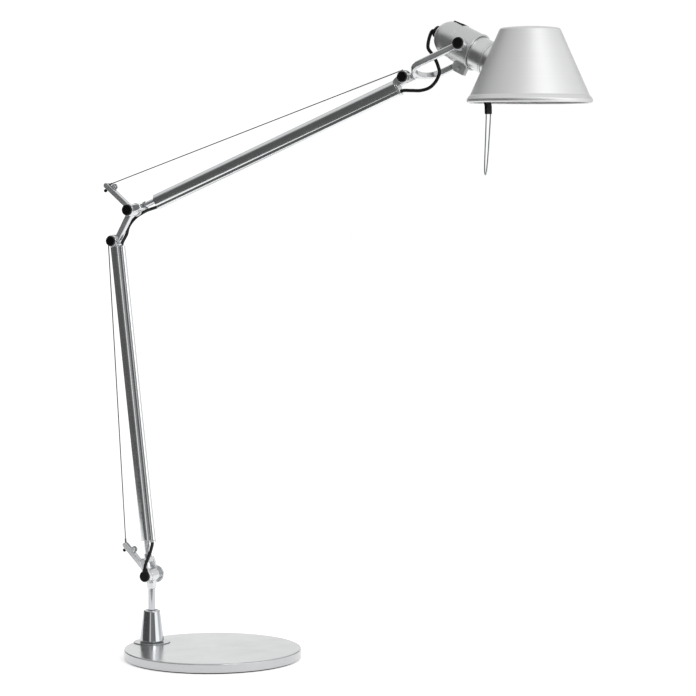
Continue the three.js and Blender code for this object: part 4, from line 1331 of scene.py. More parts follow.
@dataclass
class Post(Assembly):
    """Bright rod with the lower knuckle and its lever."""

    lever: Lever = Lever((-2.2, 0), BASE_LEVER_END)

    def pieces(self) -> list:
        """The rod, knuckle, wheel and cable stop.

        Returns:
            A list of Piece.
        """
        rod = drum(POST_R, 3.3 - PIVOT_Z, -8.4, 0.3, 96)
        neck = rounded([(0, -15.5), (5.2, -15.5, 0.6), (5.5, -9, 1), (5.5, 0), (0, 0)])
        hub = rounded(
            [(0, BASE_HUB[0]), (7.4, BASE_HUB[0], 0.7), (7.4, BASE_HUB[1], 0.7), (0, BASE_HUB[1])]
        )
        knuckle = together(lathe(hub, 96).placed(ALONG_Y), lathe(neck, 80), self.lever.body())
        return [
            Piece("post_rod", rod.placed(POST), "post", "mirror", ("support_post",)),
            Piece("post_knuckle", knuckle.placed(POST), "post", "polished", ("base_knuckle",)),
            Piece(
                "post_guide_wheel",
                self.lever.wheel_shape().placed(POST),
                "post",
                "steel",
                ("base_lever_wheel",),
            ),
            Piece("post_cable_ball", self.lever.stop().placed(POST), "post", "black", ("base_cable_stop",)),
        ]


def tube_outline(grow: float = 0.0, count: int = 240) -> np.ndarray:
    """Outline of the arm extrusion: an ellipse joined to the round lead channel.

    In polar form from the ellipse's middle, the radius is the larger of the ellipse's and of
    the far side of the channel's circle, so that a crease is left where they meet.

    Args:
        grow: how much larger than nominal.
        count: number of points.
    Returns:
        Rows of x and y, counterclockwise.
    """
    a = np.linspace(-math.pi, math.pi, count, endpoint=False)
    ra, rb, rc = TUBE_A + grow, TUBE_B + grow, CHANNEL_R + grow
    oval = ra * rb / np.sqrt((rb * np.cos(a)) ** 2 + (ra * np.sin(a)) ** 2)
    inside = rc**2 - (CHANNEL_OFF * np.sin(a)) ** 2
    facing = (inside > 0) & (np.cos(a) > 0)
    ring = np.where(facing, CHANNEL_OFF * np.cos(a) + np.sqrt(np.maximum(inside, 0)), 0)
    r = np.maximum(oval, ring)
    return np.column_stack([r * np.cos(a), r * np.sin(a)])


def oval_outline(a: float, b: float, count: int = 96) -> np.ndarray:
    """An ellipse.

    Args:
        a: half length along x.
        b: half length along y.
        count: number of points.
    Returns:
        Rows of x and y, counterclockwise.
    """
    return circle(1, count=count) * (a, b)


def arm_extrusion(low: float, high: float) -> Shape:
    """The hollow arm tube with its lead channel.

    Args:
        low: where it starts.
        high: where it ends.
    Returns:
        A closed shape.
    """
    a = np.linspace(0, 2 * math.pi, 96, endpoint=False)
    bore = np.column_stack([(TUBE_A - TUBE_WALL) * np.cos(a), (TUBE_B - TUBE_WALL) * np.sin(a)])
    far = np.hypot(bore[:, 0] - CHANNEL_OFF, bore[:, 1])
    near_channel = far < CHANNEL_R
    bore[near_channel, 0] = CHANNEL_OFF - np.sqrt(CHANNEL_R**2 - bore[near_channel, 1] ** 2)
    channel = circle(CHANNEL_R - 0.9, (CHANNEL_OFF, 0), 48)
    return prism(tube_outline(), low, high, 0.25, (bore, channel))


def pulley_shape() -> Shape:
    """A grooved pulley about Y.

    Returns:
        A closed shape.
    """
    t = PULLEY_T / 2
    profile = rounded(
        [
            (2.1, -t),
            (PULLEY_R, -t, 0.3),
            (PULLEY_R, -t + 0.5, 0.1),
            (PULLEY_R - 1.2, 0, 0.5),
            (PULLEY_R, t - 0.5, 0.1),
            (PULLEY_R, t, 0.3),
            (2.1, t),
        ],
        True,
    )
    return lathe(profile, 72, loop=True).placed(ALONG_Y)


def bolt_shape() -> Shape:
    """The pulley's bolt, with its domed head on the far side.

    Returns:
        A closed shape.
    """
    head = rounded([(0, 0), (5.4, 0, 0.3), (5.4, 1.3, 0.6), (4.3, 2.2, 0.8), (0, 2.3)])
    return together(
        lathe(head, 64).placed(move(0, 5.9, 0) @ ALONG_Y), drum(1.8, -5.5, 6.3, 0.2, 24).placed(ALONG_Y)
    )


def pulley_cheeks(tube_end: float, centre: Sequence[float]) -> list:
    """Flange, root block and two cheeks that hold a pulley at a tube's end.

    Args:
        tube_end: where the tube ends.
        centre: the pulley's middle, sideways and along.
    Returns:
        A list of closed shapes.
    """
    root = (centre[0] * 0.55, tube_end + 3.4)
    flange = prism(oval_outline(TUBE_A - 0.3, TUBE_B - 0.2), tube_end + GAP, tube_end + 2.6, 0.7)
    slabs = ((-CHEEK_Y, -2.1), (2.1, CHEEK_Y))
    cheeks = [plate(stadium(root, centre, 9.8, 10.6), near, far, 0.8) for near, far in slabs]
    rim = drum(PULLEY_CAP_R + CAP_RIM, -CHEEK_Y - CAP_PROUD, -2.2, 0.35, 96)
    cheeks.append(rim.placed(move(centre[0], 0, centre[1]) @ ALONG_Y))
    return [flange, tube_plug(tube_end - 10, tube_end + 0.4, 0.2), *cheeks]


def tube_plug(start: float, end: float, edge: float) -> Shape:
    """The part of a casting that plugs an arm tube: the tube's bore less PLUG_PLAY all round.

    Args:
        start: where it starts along the tube.
        end: where it ends.
        edge: rounding of its edges.
    Returns:
        A closed shape.
    """
    bore = oval_outline(TUBE_A - TUBE_WALL - PLUG_PLAY, TUBE_B - TUBE_WALL - PLUG_PLAY)
    return prism(bore, start, end, edge)


def arm_tube(side: str, start: float, end: float, place: np.ndarray) -> Piece:
    """The drawn tube of one arm.

    Args:
        side: lower or upper.
        start: where the tube starts along the arm.
        end: where it ends.
        place: the tube's frame.
    Returns:
        The piece.
    """
    shape = arm_extrusion(start, end).placed(place)
    return Piece(f"{side}_arm_tube", shape, f"{side}_arm", "tube", (f"{side}_tube",))


def channel_ring(side: str, start: float, end: float, place: np.ndarray) -> Piece:
    """The ring in which the lead enters or leaves an arm's channel.

    Args:
        side: lower or upper.
        start: where the ring starts along the arm.
        end: where it ends.
        place: the tube's frame.
    Returns:
        The piece.
    """
    ring = sleeve(CHANNEL_RING_R, LEAD_R + GAP, start, end).placed(place @ move(CHANNEL_OFF, 0, 0))
    nodes = (f"{side}_channel_ring",)
    return Piece(f"{side}_arm_channel_ring", ring, f"{side}_arm", "polished", nodes, slot="tube_aluminium")


def pulley_pieces(side: str, place: np.ndarray) -> list:
    """An arm's pulley with its bolt and cap.

    Args:
        side: lower or upper.
        place: frame at the pulley's middle.
    Returns:
        A list of Piece.
    """
    arm, cap = f"{side}_arm", cap_shape(PULLEY_CAP_R, -CHEEK_Y - CAP_PROUD)
    return [
        Piece(f"{arm}_pulley", pulley_shape().placed(place), arm, "steel", (f"{side}_pulley",)),
        Piece(f"{arm}_bolt", bolt_shape().placed(place), arm, "polished", (f"{side}_pulley_bolt",)),
        Piece(f"{arm}_pulley_cap", cap.placed(place), arm, "black", (f"{side}_pulley_cap",)),
    ]


def friction_disc(hinge: str, foot: Clevis, arm: str, place: np.ndarray, angle: float = 0) -> Piece:
    """The pin and slotted disc that clamp an arm's hinge.

    Args:
        hinge: base or elbow.
        foot: the forked foot that it goes through.
        arm: the body that it rides on.
        place: the foot's frame.
        angle: how far the slot is turned, in degrees.
    Returns:
        The piece.
    """
    cut = foot.slot().placed(place @ turn(Axis.Y, angle))
    nodes = (f"{hinge}_friction_screw",)
    return Piece(f"{hinge}_friction_disc", foot.screw().placed(place), arm, "polished", nodes, cuts=(cut,))


def hinge_cap(hinge: str, foot: Clevis, arm: str, place: np.ndarray) -> Piece:
    """The black cap on the near side of an arm's hinge.

    Args:
        hinge: base or elbow.
        foot: the forked foot that it sits on.
        arm: the body that it rides on.
        place: the foot's frame.
    Returns:
        The piece.
    """
    shape = cap_shape(HINGE_CAP_R, foot.face).placed(place)
    return Piece(f"{hinge}_hinge_cap", shape, arm, "black", (f"{hinge}_cap",))


@dataclass
class LowerArm(Assembly):
    """The upright arm: foot, tube, pulley, elbow bracket and hinge hardware."""

    foot: Clevis = Clevis(BASE_HUB, 3.2, 18, LOWER_TUBE_START + 1, FOOT_U, BASE_DISC_R)
    pulley: tuple = (LOWER_PULLEY[0] - LOWER_TUBE_U, LOWER_PULLEY[1])
    elbow: tuple = (ELBOW[0] - LOWER_TUBE_U, ELBOW[1])

    def lever(self) -> Lever:
        """The elbow's lever in the tube's frame.

        Returns:
            The lever.
        """
        a = math.radians(LOWER_LEAN)
        x, z = ELBOW_LEVER_END
        tip = (
            self.elbow[0] + x * math.cos(a) + z * math.sin(a),
            self.elbow[1] - x * math.sin(a) + z * math.cos(a),
        )
        return Lever(self.elbow, tip)

    def bracket(self) -> Shape:
        """The casting that carries the pulley, the elbow's hub and the lever.

        Returns:
            A closed shape.
        """
        start = (self.pulley[0] + 5.2, self.pulley[1] + 1.0)
        strut = stadium(start, self.elbow, LEVER_W + 0.6, LEVER_W + 1.2)
        hub = drum(HINGE_CAP_R + 0.8, ELBOW_HUB[0], ELBOW_HUB[1], 0.6)
        return together(
            *pulley_cheeks(LOWER_TUBE_END, self.pulley),
            plate(strut, -3.3, 3.3, 1.2),
            plate(stadium((0.2, LOWER_TUBE_END + 3.4), start, 5.2), -3.1, 3.1, 0.9),
            hub.placed(move(self.elbow[0], 0, self.elbow[1]) @ ALONG_Y),
            self.lever().body(),
        )

    def pieces(self) -> list:
        """All pieces of the lower arm.

        Returns:
            A list of Piece.
        """
        arm, lever = "lower_arm", self.lever()
        at_pulley = LOWER_TUBE @ move(self.pulley[0], 0, self.pulley[1])
        plug = tube_plug(LOWER_TUBE_START + 0.5, LOWER_TUBE_START + 12, 0.3)
        collar = rounded([(2.7, 20.8), (4.1, 20.8, 0.4), (4.1, 24.3, 0.4), (2.7, 24.3)], True)
        wide = LEAD_R + 1.1
        gland = rounded([(0, 4.8), (wide, 4.8, 0.6), (wide, 8.6, 0.5), (LEAD_R + 0.4, 9.6, 0.4), (0, 9.6)])
        foot = together(self.foot.body(), plug.placed(move(LOWER_TUBE_U, 0, 0)))
        stop = Lever((0, 0), ELBOW_LEVER_END).stop()
        return [
            arm_tube("lower", LOWER_TUBE_START, LOWER_TUBE_END, LOWER_TUBE),
            Piece("lower_arm_foot", foot.placed(LOWER), arm, "polished", ("lower_foot",)),
            Piece(
                "lower_arm_lock_nut",
                lathe(collar, 64, loop=True).placed(LOWER @ move(FOOT_U, 0, 0)),
                arm,
                "steel",
                ("lower_foot_nut",),
            ),
            channel_ring("lower", LOWER_TUBE_START - 2.3, LOWER_TUBE_START - GAP, LOWER_TUBE),
            friction_disc("base", self.foot, arm, LOWER),
            Piece(
                "hinge_lead_gland",
                lathe(gland, 48).placed(LOWER @ move(*ENTRY, 0)),
                arm,
                "rubber",
                ("lead_gland",),
            ),
            hinge_cap("base", self.foot, arm, LOWER),
            Piece("elbow_casting", self.bracket().placed(LOWER_TUBE), arm, "polished", ("elbow_bracket",)),
            *pulley_pieces("lower", at_pulley),
            Piece(
                "elbow_guide_wheel",
                lever.wheel_shape().placed(LOWER_TUBE),
                arm,
                "steel",
                ("elbow_lever_wheel",),
            ),
            Piece("elbow_cable_ball", stop.placed(ELBOW_WORLD), arm, "black", ("elbow_cable_stop",)),
        ]


@dataclass
class UpperArm(Assembly):
    """The reaching arm: foot, tube, pulley and the nose that holds the fork."""

    foot: Clevis = Clevis(ELBOW_HUB, 3.2, 14, UPPER_TUBE_START + 1, -UPPER_TUBE_V - 1.2, ELBOW_DISC_R)
    pulley: tuple = (UPPER_TUBE_V - UPPER_PULLEY[1], UPPER_PULLEY[0])

    def pieces(self) -> list:
        """All pieces of the upper arm.

        Returns:
            A list of Piece.
        """
        arm = "upper_arm"
        at_pulley = UPPER @ move(UPPER_PULLEY[0], 0, UPPER_PULLEY[1])
        plug = tube_plug(UPPER_TUBE_START + 0.5, UPPER_TUBE_START + 12, 0.3)
        foot = together(self.foot.body(), plug.placed(move(-UPPER_TUBE_V, 0, 0)))
        ring = rounded([(3.5, 16.9), (4.4, 16.9, 0.4), (4.4, 19.4, 0.4), (3.5, 19.4)], True)
        side, end = UPPER_TUBE_V - FORK_V, FORK_S - GAP
        nose = together(
            *pulley_cheeks(UPPER_TUBE_END, self.pulley),
            plate(stadium((-2.4, UPPER_TUBE_END + 4.4), (side - 0.8, end - 5), 8.4, 8.0), -5.4, 5.4, 1.6),
            drum(4.6, end - 6, end, 0.6, 64).placed(move(side, 0, 0)),
        )
        return [
            arm_tube("upper", UPPER_TUBE_START, UPPER_TUBE_END, UPPER_TUBE),
            Piece("upper_arm_foot", foot.placed(UPPER_ALONG), arm, "polished", ("upper_foot",)),
            Piece(
                "upper_arm_foot_ring",
                lathe(ring, 64, loop=True).placed(UPPER_ALONG @ move(self.foot.shift, 0, 0)),
                arm,
                "steel",
                ("upper_foot_ring",),
            ),
            friction_disc("elbow", self.foot, arm, UPPER_ALONG, 35),
            hinge_cap("elbow", self.foot, arm, UPPER_ALONG),
            Piece("upper_arm_nose", nose.placed(UPPER_TUBE), arm, "polished", ("upper_end_fitting",)),
            *pulley_pieces("upper", at_pulley),
            channel_ring("upper", UPPER_TUBE_END + GAP, UPPER_TUBE_END + 2.3, UPPER_TUBE),
        ]


@dataclass
class BalanceCable(Assembly):
    """Straight steel cable from a lever's pin to the top of a pulley, as both stand at rest.

    It has a fixed length and rides on a body of its own, so it leaves the pulley as the arm moves.

    Attributes:
        name: node and body name.
        start: the pin, in the shared frame.
        pulley: the pulley's middle, in the shared frame.
    """

    name: str
    start: np.ndarray
    pulley: np.ndarray

    def pieces(self) -> list:
        """The eye, its crimp sleeve and the cable.

        Returns:
            A list of Piece.
        """
        r = PULLEY_R + CABLE_R + 0.2
        away = self.pulley - self.start
        reach = np.linalg.norm(away)
        heading = turn(Axis.Y, -math.degrees(math.asin(r / reach)))[:3, :3] @ (away / reach)
        length = math.sqrt(reach * reach - r * r)
        local = basis(np.cross((0, 1, 0), heading), (0, 1, 0), heading)
        local[:3, 3] = self.start
        crimp = rounded([(0, 2.2), (1.05, 2.2, 0.3), (1.05, 7.6, 0.3), (0, 7.6)])
        shape = together(
            sleeve(2.3, 1.3, -0.9, 0.9, 0.4, 40).placed(ALONG_Y),
            lathe(crimp, 32),
            drum(CABLE_R, 1.9, length, 0.1, 20),
        )
        return [Piece(self.name + "_wire", shape.placed(local), self.name, "cable", (self.name,))]


@dataclass
class Fork(Assembly):
    """Flat two-pronged fork that turns about the upper arm, with its two tilt knobs."""

    bend: float = 24.0

    def outline(self) -> np.ndarray:
        """The fork from above: a stub, two curves outward and two parallel prongs.

        Returns:
            Rows of x and y, counterclockwise.
        """
        out, inn, b = PRONG_Y + PRONG_T / 2, PRONG_Y - PRONG_T / 2, self.bend

        def curve(*c: Sequence[float]) -> np.ndarray:
            t = np.linspace(0, 1, 22)[:, None]
            p = np.array(c, float)
            return (1 - t) ** 3 * p[0] + 3 * (1 - t) ** 2 * t * p[1] + 3 * (1 - t) * t**2 * p[2] + t**3 * p[3]

        near_out = curve((0.4, -4.4), (3, -7), (6, -out), (b, -out))
        near_in = curve((b + 2, -inn), (12, -inn), (7.2, -13), (7.2, 0))
        tips = rounded([(b + 10, -out), (FORK_LENGTH, -out, 2.4), (FORK_LENGTH, -inn, 2.4), (b + 10, -inn)])
        half = np.vstack([near_out, tips, near_in[:-1]])
        other = half[::-1] * (1, -1)
        return np.vstack([half, [[7.2, 0]], other])

    def pieces(self) -> list:
        """The fork and the knobs.

        Returns:
            A list of Piece.
        """
        out, inn = PRONG_Y + PRONG_T / 2, PRONG_Y - PRONG_T / 2
        eyes = [
            drum(HINGE_CAP_R + CAP_RIM, a, b, 0.35, 96).placed(move(FORK_LENGTH, 0, 0) @ ALONG_Y)
            for a, b in ((-out - CAP_PROUD, -inn + 0.1), (inn - 0.1, out + CAP_PROUD))
        ]
        stub = rounded([(0, -1.8), (1.8, -1.8), (1.8, 0), (4.2, 0, 0.5), (4.2, 4.5, 1.2), (0, 5.5)])
        body = together(
            prism(self.outline(), -PRONG_H / 2, PRONG_H / 2, 1.4, steps=4),
            lathe(stub, 64).placed(ALONG_X),
            *eyes,
        )
        shaft = drum(2, inn - 1.8, out + 0.7, 0.2, 24).placed(ALONG_Y)
        far = together(cap_shape(HINGE_CAP_R, out + CAP_PROUD, 1), shaft)
        tilt = FORK @ move(FORK_LENGTH, 0, 0)
        return [
            Piece("fork_casting", body.placed(FORK), "fork", "polished", ("fork",)),
            Piece(
                "near_tilt_knob",
                far.placed(tilt @ turn(Axis.X, 180)),
                "fork",
                "black",
                ("tilt_knob_near",),
            ),
            Piece("far_tilt_knob", far.placed(tilt), "fork", "black", ("tilt_knob_far",)),
        ]


@dataclass
class Head(Assembly):
    """Lampholder housing with its switch, cord grip and split clamp collar."""

    wall: float = 1.6
    switch_x: tuple = (-31.0, -16.9)
    switch_half: float = 5.5

    def housing(self) -> Shape:
        """Domed cup about local x: a hemisphere that runs into a short cylinder.

        Returns:
            A closed shape.
        """
        a = np.linspace(0, math.pi / 2, 22)
        outer = np.column_stack([HOUSING_R * np.sin(a), DOME_X - HOUSING_R * np.cos(a)])
        r = HOUSING_R - self.wall
        inner = np.column_stack([r * np.sin(a), DOME_X - r * np.cos(a)])[::-1]
        front, neck = COLLAR_X[0] - GAP, COLLAR_R - 1.8
        lip = rounded(
            [
                (HOUSING_R, front - 3),
                (HOUSING_R, front, 0.35),
                (neck, front, 0.1),
                (neck, front + 6, 0.3),
                (neck - 1.4, front + 6, 0.3),
                (neck - 1.4, front - 1.5),
                (r, front - 3),
            ]
        )
        return lathe(np.vstack([outer, lip, inner]), 128)

    def rocker(self) -> Shape:
        """The switch: a slab with a shallow V across its top.

        Returns:
            A closed shape.
        """
        x0, x1 = self.switch_x
        m = (x0 + x1) / 2
        side = [(x0, 15.6), (x1, 15.6), (x1, 20.4, 0.8), (m + 1, 19.7, 2), (m - 1, 19.7, 2), (x0, 19.2, 0.8)]
        return plate(rounded(side, closed=True, steps=3), -self.switch_half, self.switch_half, 0.7)

    def collar(self) -> Shape:
        """The clamp ring with its two pivot bosses and two lugs underneath.

        Returns:
            A closed shape.
        """
        x0, x1 = COLLAR_X
        ring = rounded(
            [
                (COLLAR_R - 1.5, x0, 0.3),
                (COLLAR_R, x0, 0.6),
                (COLLAR_R, x1 - 2.6, 0.2),
                (COLLAR_R + 0.6, x1 - 2.1, 0.3),
                (COLLAR_R + 0.6, x1, 0.5),
                (COLLAR_R - 1.5, x1, 0.3),
            ],
            closed=True,
        )
        face = PRONG_Y - PRONG_T / 2 - GAP
        bosses = [drum(7.6, 17.2, face, 0.6).placed(ALONG_Y @ turn(Axis.X, a)) for a in (0, 180)]
        lug = rounded(
            [(-7.4, -17), (-7.4, -24.5, 2), (-2.6, -28.6, 2), (10.6, -28.6, 1.4), (10.6, -17)], True
        )
        lugs = [plate(lug, n, f, 0.8) for n, f in ((-6.6, -0.9), (0.9, 6.6))]
        return together(lathe(ring, 128, loop=True).placed(ALONG_X), *bosses, *lugs)

    def pieces(self) -> list:
        """All pieces of the head.

        Returns:
            A list of Piece.
        """
        x0, x1 = self.switch_x
        window = block((x0 - 0.5, x1 + 0.5), (-6, 6), (12, 30), 0.6)
        vents = [
            plate(stadium((x, -22), (x + 2.4, -15.5), 0.9), -3.2, 3.2, 0.3).placed(turn(Axis.X, a))
            for a in (-38, 0)
            for x in (-26, -23, -20)
        ]
        grip = rounded(
            [
                (0, -49.6),
                (4.2, -49.6, 0.8),
                (6.4, -48.4, 0.8),
                (6.8, -46.6, 0.6),
                (6.8, -42.6, 0.2),
                (0, -42.6),
            ]
        )
        hole = drum(2.7, -12, -4.4, 0.2, 32).placed(move(2.6, 0, -23.6) @ ALONG_Y)
        screw = drum(2.5, -6.1, -4.6, 0.3, 32).placed(move(2.6, 0, -23.6) @ ALONG_Y)
        slot = block((-1, 6.2), (-8, -5.6), (-24, -23.2), 0.1)
        return [
            Piece(
                "lampholder_housing",
                self.housing().placed(HEAD @ ALONG_X),
                "head",
                "paint",
                ("lamp_housing",),
                cuts=[window.placed(HEAD)] + [v.placed(HEAD) for v in vents],
            ),
            Piece("switch_rocker", self.rocker().placed(HEAD), "switch", "black", ("rocker_switch",)),
            Piece(
                "housing_cord_grip",
                lathe(grip, 64).placed(HEAD @ ALONG_X),
                "head",
                "rubber",
                ("cord_grip",),
            ),
            Piece(
                "clamp_ring",
                self.collar().placed(HEAD),
                "head",
                "paint",
                ("clamp_collar",),
                cuts=(hole.placed(HEAD),),
            ),
            Piece(
                "clamp_ring_screw",
                screw.placed(HEAD),
                "head",
                "steel",
                ("clamp_screw",),
                cuts=(slot.placed(HEAD),),
            ),
        ]


def side_radius(z: float) -> float:
    """Radius of the shade's straight side.

    Args:
        z: height in the shade's frame.
    Returns:
        The radius.
    """
    return SIDE_R - (z - SIDE_Z) * math.tan(math.radians(SHADE_SLOPE))


@dataclass
class ShadeUnit(Assembly):
    """Cone shade on its cup, with the lampholder, the bulb and the wire handle."""

    cup_back: float = -4.6

    def shell(self) -> Shape:
        """The shade: rolled rim, straight side, rounded corner and slightly domed top.

        Returns:
            A closed shape.
        """
        corner = side_radius(CORNER_Z + 2.6)
        w = SHADE_WALL
        top = np.array([(r, SHADE_TOP_Z - 1.9 * (r / corner) ** 2) for r in np.linspace(corner - 7, 2, 12)])
        outside = rounded(
            [
                (RIM_R - 3.4, RIM_Z - 2.6),
                (RIM_R - 2.4, RIM_Z - 3.3, 0.6),
                (RIM_R - 0.6, RIM_Z - 2.0, 1.2),
                (RIM_R, RIM_Z + 0.4, 1.4),
                (SIDE_R + 1.2, SIDE_Z - 1.3, 0.6),
                (SIDE_R, SIDE_Z - 0.2, 0.5),
                (corner, CORNER_Z + 2.6, 3.6),
                (corner - 7, SHADE_TOP_Z - 1.9 * ((corner - 7) / corner) ** 2),
            ],
            steps=8,
        )
        inner_corner = corner - w * 1.1
        inside = rounded(
            [
                (inner_corner - 7, SHADE_TOP_Z - w - 1.9 * ((inner_corner - 7) / corner) ** 2),
                (inner_corner, CORNER_Z + 2.6 - w, 3.0),
                (SIDE_R - w * 1.15, SIDE_Z, 1.0),
                (RIM_R - w * 1.4, RIM_Z + 0.8, 0.8),
                (RIM_R - 2.6, RIM_Z - 2.0),
            ],
            steps=6,
        )
        inner_top = (top - (0, w))[::-1]
        profile = np.vstack(
            [[[0, SHADE_TOP_Z - w]], inner_top, inside, outside, top[1:], [[0, SHADE_TOP_Z]]]
        )
        return lathe(profile, 224)

    def cup(self) -> Shape:
        """The cup behind the shade, its front edge cut to the cone.

        The front is where a ray along the lampholder meets the cone, found for all angles at
        once by four steps of the secant rule on radius(z) minus distance from the axis.

        Returns:
            A closed shape in the head's frame.
        """
        back, front = self.cup_back, SHADE_WALL_X - 3.0
        profile = rounded(
            [
                (8, back, 0.3),
                (CUP_R - 0.2, back, 0.6),
                (CUP_R, SHADE_WALL_X - 6.6, 0.05),
                (CUP_R - 0.35, SHADE_WALL_X - 6.3, 0.1),
                (CUP_R - 0.35, SHADE_WALL_X - 5.7, 0.1),
                (CUP_R + 0.7, SHADE_WALL_X - 5.4, 0.2),
                (CUP_R + 0.7, SHADE_WALL_X - 3.6, 0.2),
                (CUP_R, front, 0.1),
                (CUP_R, front + 6, 0.1),
                (CUP_R - 1.4, front + 6, 0.1),
                (CUP_R - 1.4, front, 0.1),
                (CUP_R - 1.4, back + 1.4, 0.3),
                (8, back + 1.4, 0.3),
            ],
            closed=True,
        )
        shape = lathe(profile, 160, loop=True).placed(ALONG_X)
        points = shape.points.copy()
        far = points[:, 0] > front + 0.01
        to_shade = np.linalg.inv(SHADE) @ HEAD

        def miss(x: np.ndarray) -> np.ndarray:
            p = np.column_stack([x, points[far, 1], points[far, 2]]) @ to_shade[:3, :3].T + to_shade[:3, 3]
            slope = math.tan(math.radians(SHADE_SLOPE))
            return np.hypot(p[:, 0], p[:, 1]) - (SIDE_R - (p[:, 2] - SIDE_Z) * slope)

        a, b = np.full(far.sum(), 26.0), np.full(far.sum(), 32.0)
        for _ in range(5):
            fa, fb = miss(a), miss(b)
            step = np.where(np.abs(fb - fa) > 1e-9, (b - a) * fb / np.where(fb == fa, 1, fb - fa), 0)
            a, b = b, b - step
        share = (points[far, 0] - front) / 6
        points[far, 0] = front + share * (b - 0.15 - front)
        return Shape(points, shape.faces)

    def bulb(self) -> Shape:
        """Round bulb: a ball that narrows to its neck.

        Returns:
            A closed shape.
        """
        corners = [
            (0, 55.9),
            (6.8, 55.9, 0.4),
            (7.4, 60, 4),
            (10, 66, 8),
            (13.6, 71, 8),
            (16, 77, 8),
            (16.5, 82.5, 8),
            (15.8, 88, 8),
            (13, 93.5, 8),
            (8.5, 97.3, 8),
            (3.5, 98.8, 6),
            (0, 99),
        ]
        return lathe(rounded(corners, steps=4), 80)

    def screw_cap(self) -> Shape:
        """The bulb's threaded cap: radius = 6.85 + 0.3 sin of one turn in each 2.4 mm.

        Returns:
            A closed shape.
        """
        z = np.linspace(39, 55.2, 90)
        thread = np.column_stack([6.8 + 0.28 * np.sin(2 * math.pi * z / 2.4), z])
        ends = rounded([(0, 33.8), (2.4, 33.8, 0.6), (3.6, 36.2, 0.5), (6.6, 38.2, 0.8), (6.8, 39)])
        return lathe(np.vstack([ends, thread[1:], [[0, 55.6]]]), 64)

    def handle(self) -> list:
        """The wire loop and its black flattened sleeve.

        Returns:
            Two closed shapes in the shade's frame.
        """
        start = -(RIM_R - 3.7)
        half, top, tip = 4.0, RIM_Z - 14, RIM_Z - HANDLE_DROP + 20

        def leg(side: float) -> list:
            return [
                (start + 2.2, side * half, RIM_Z + 4),
                (start + 5, side * half, RIM_Z + 2.6),
                (-HANDLE_RHO - 1.2, side * half, RIM_Z - 1.6),
                (-HANDLE_RHO, side * half, top + 4),
            ]

        loop = leg(1)
        loop += [(-HANDLE_RHO - 0.8, 3.5, top - 20), (-HANDLE_RHO - 3.3, 1.5, tip + 3)]
        loop += [(-HANDLE_RHO - 3.5, 0, tip)]
        loop += [(-HANDLE_RHO - 3.3, -1.5, tip + 3), (-HANDLE_RHO - 0.8, -3.5, top - 20)]
        loop += leg(-1)[::-1]
        wide, thick = half + 1.3, 1.7
        section = rounded(
            [(-wide, -thick, 1.3), (wide, -thick, 1.3), (wide, thick, 1.3), (-wide, thick, 1.3)], True, 5
        )
        path = [
            (start + 3.4, 0, RIM_Z + 3.4),
            (start + 6.2, 0, RIM_Z + 1.6),
            (-HANDLE_RHO - 0.9, 0, RIM_Z - 3),
            (-HANDLE_RHO, 0, top),
        ]
        cover = sweep(section, smooth_path(np.array(path, float), 14), (0.3, 0, 1), 0.9)
        return [tube(loop, HANDLE_R, 14, 14), cover]

    def pieces(self) -> list:
        """All pieces that turn with the shade.

        Returns:
            A list of Piece.
        """
        wire, cover = self.handle()
        back = self.cup_back + 1.7
        socket = rounded(
            [
                (0, back),
                (16.5, back, 0.6),
                (16.5, 3, 0.8),
                (11.2, 4, 1.0),
                (11.2, 52.8, 1.0),
                (7.9, 52.8, 0.6),
                (7.9, 33, 0.5),
                (0, 33),
            ]
        )
        nut = rounded([(11.5, 37.2, 0.3), (16.6, 37.2, 0.6), (16.6, 41.6, 0.6), (11.5, 41.6, 0.3)], True)
        along = HEAD @ ALONG_X
        return [
            Piece("shade_shell", self.shell().placed(SHADE), "shade", "shade", ("shade",), sharp=40),
            Piece("shade_cup", self.cup().placed(HEAD), "shade", "cup", ("lampholder_cup",)),
            Piece(
                "porcelain_socket",
                lathe(socket, 72).placed(along),
                "shade",
                "porcelain",
                ("ceramic_socket",),
            ),
            Piece(
                "socket_ring_nut",
                lathe(nut, 72, loop=True).placed(along),
                "shade",
                "steel",
                ("socket_nut",),
            ),
            Piece("bulb_screw_cap", self.screw_cap().placed(along), "shade", "brass", ("bulb_cap",)),
            Piece("bulb_envelope", self.bulb().placed(along), "shade", "bulb", ("bulb_glass",)),
            Piece("handle_wire_loop", wire.placed(SHADE), "shade", "steel", ("handle_wire",)),
            Piece("handle_grip_sleeve", cover.placed(SHADE), "shade", "black", ("handle_sleeve",)),
        ]


LEAD_MIDDLE = (413.8, 1.0, -5.0)
LEAD_BELOW = ((375, 0, -13.6), (386, 0, -18.2), (397, 0, -19.4), (406.5, 0, -15.8), (412.3, 0.5, -10.4))
LEAD_ABOVE = ((413.6, 2, 4), (411.4, 3, 13.6), (409.4, 4, 22))
LEAD_HEADING = UPPER[:3, :3] @ np.array((0.5, 0.5, 9.0))


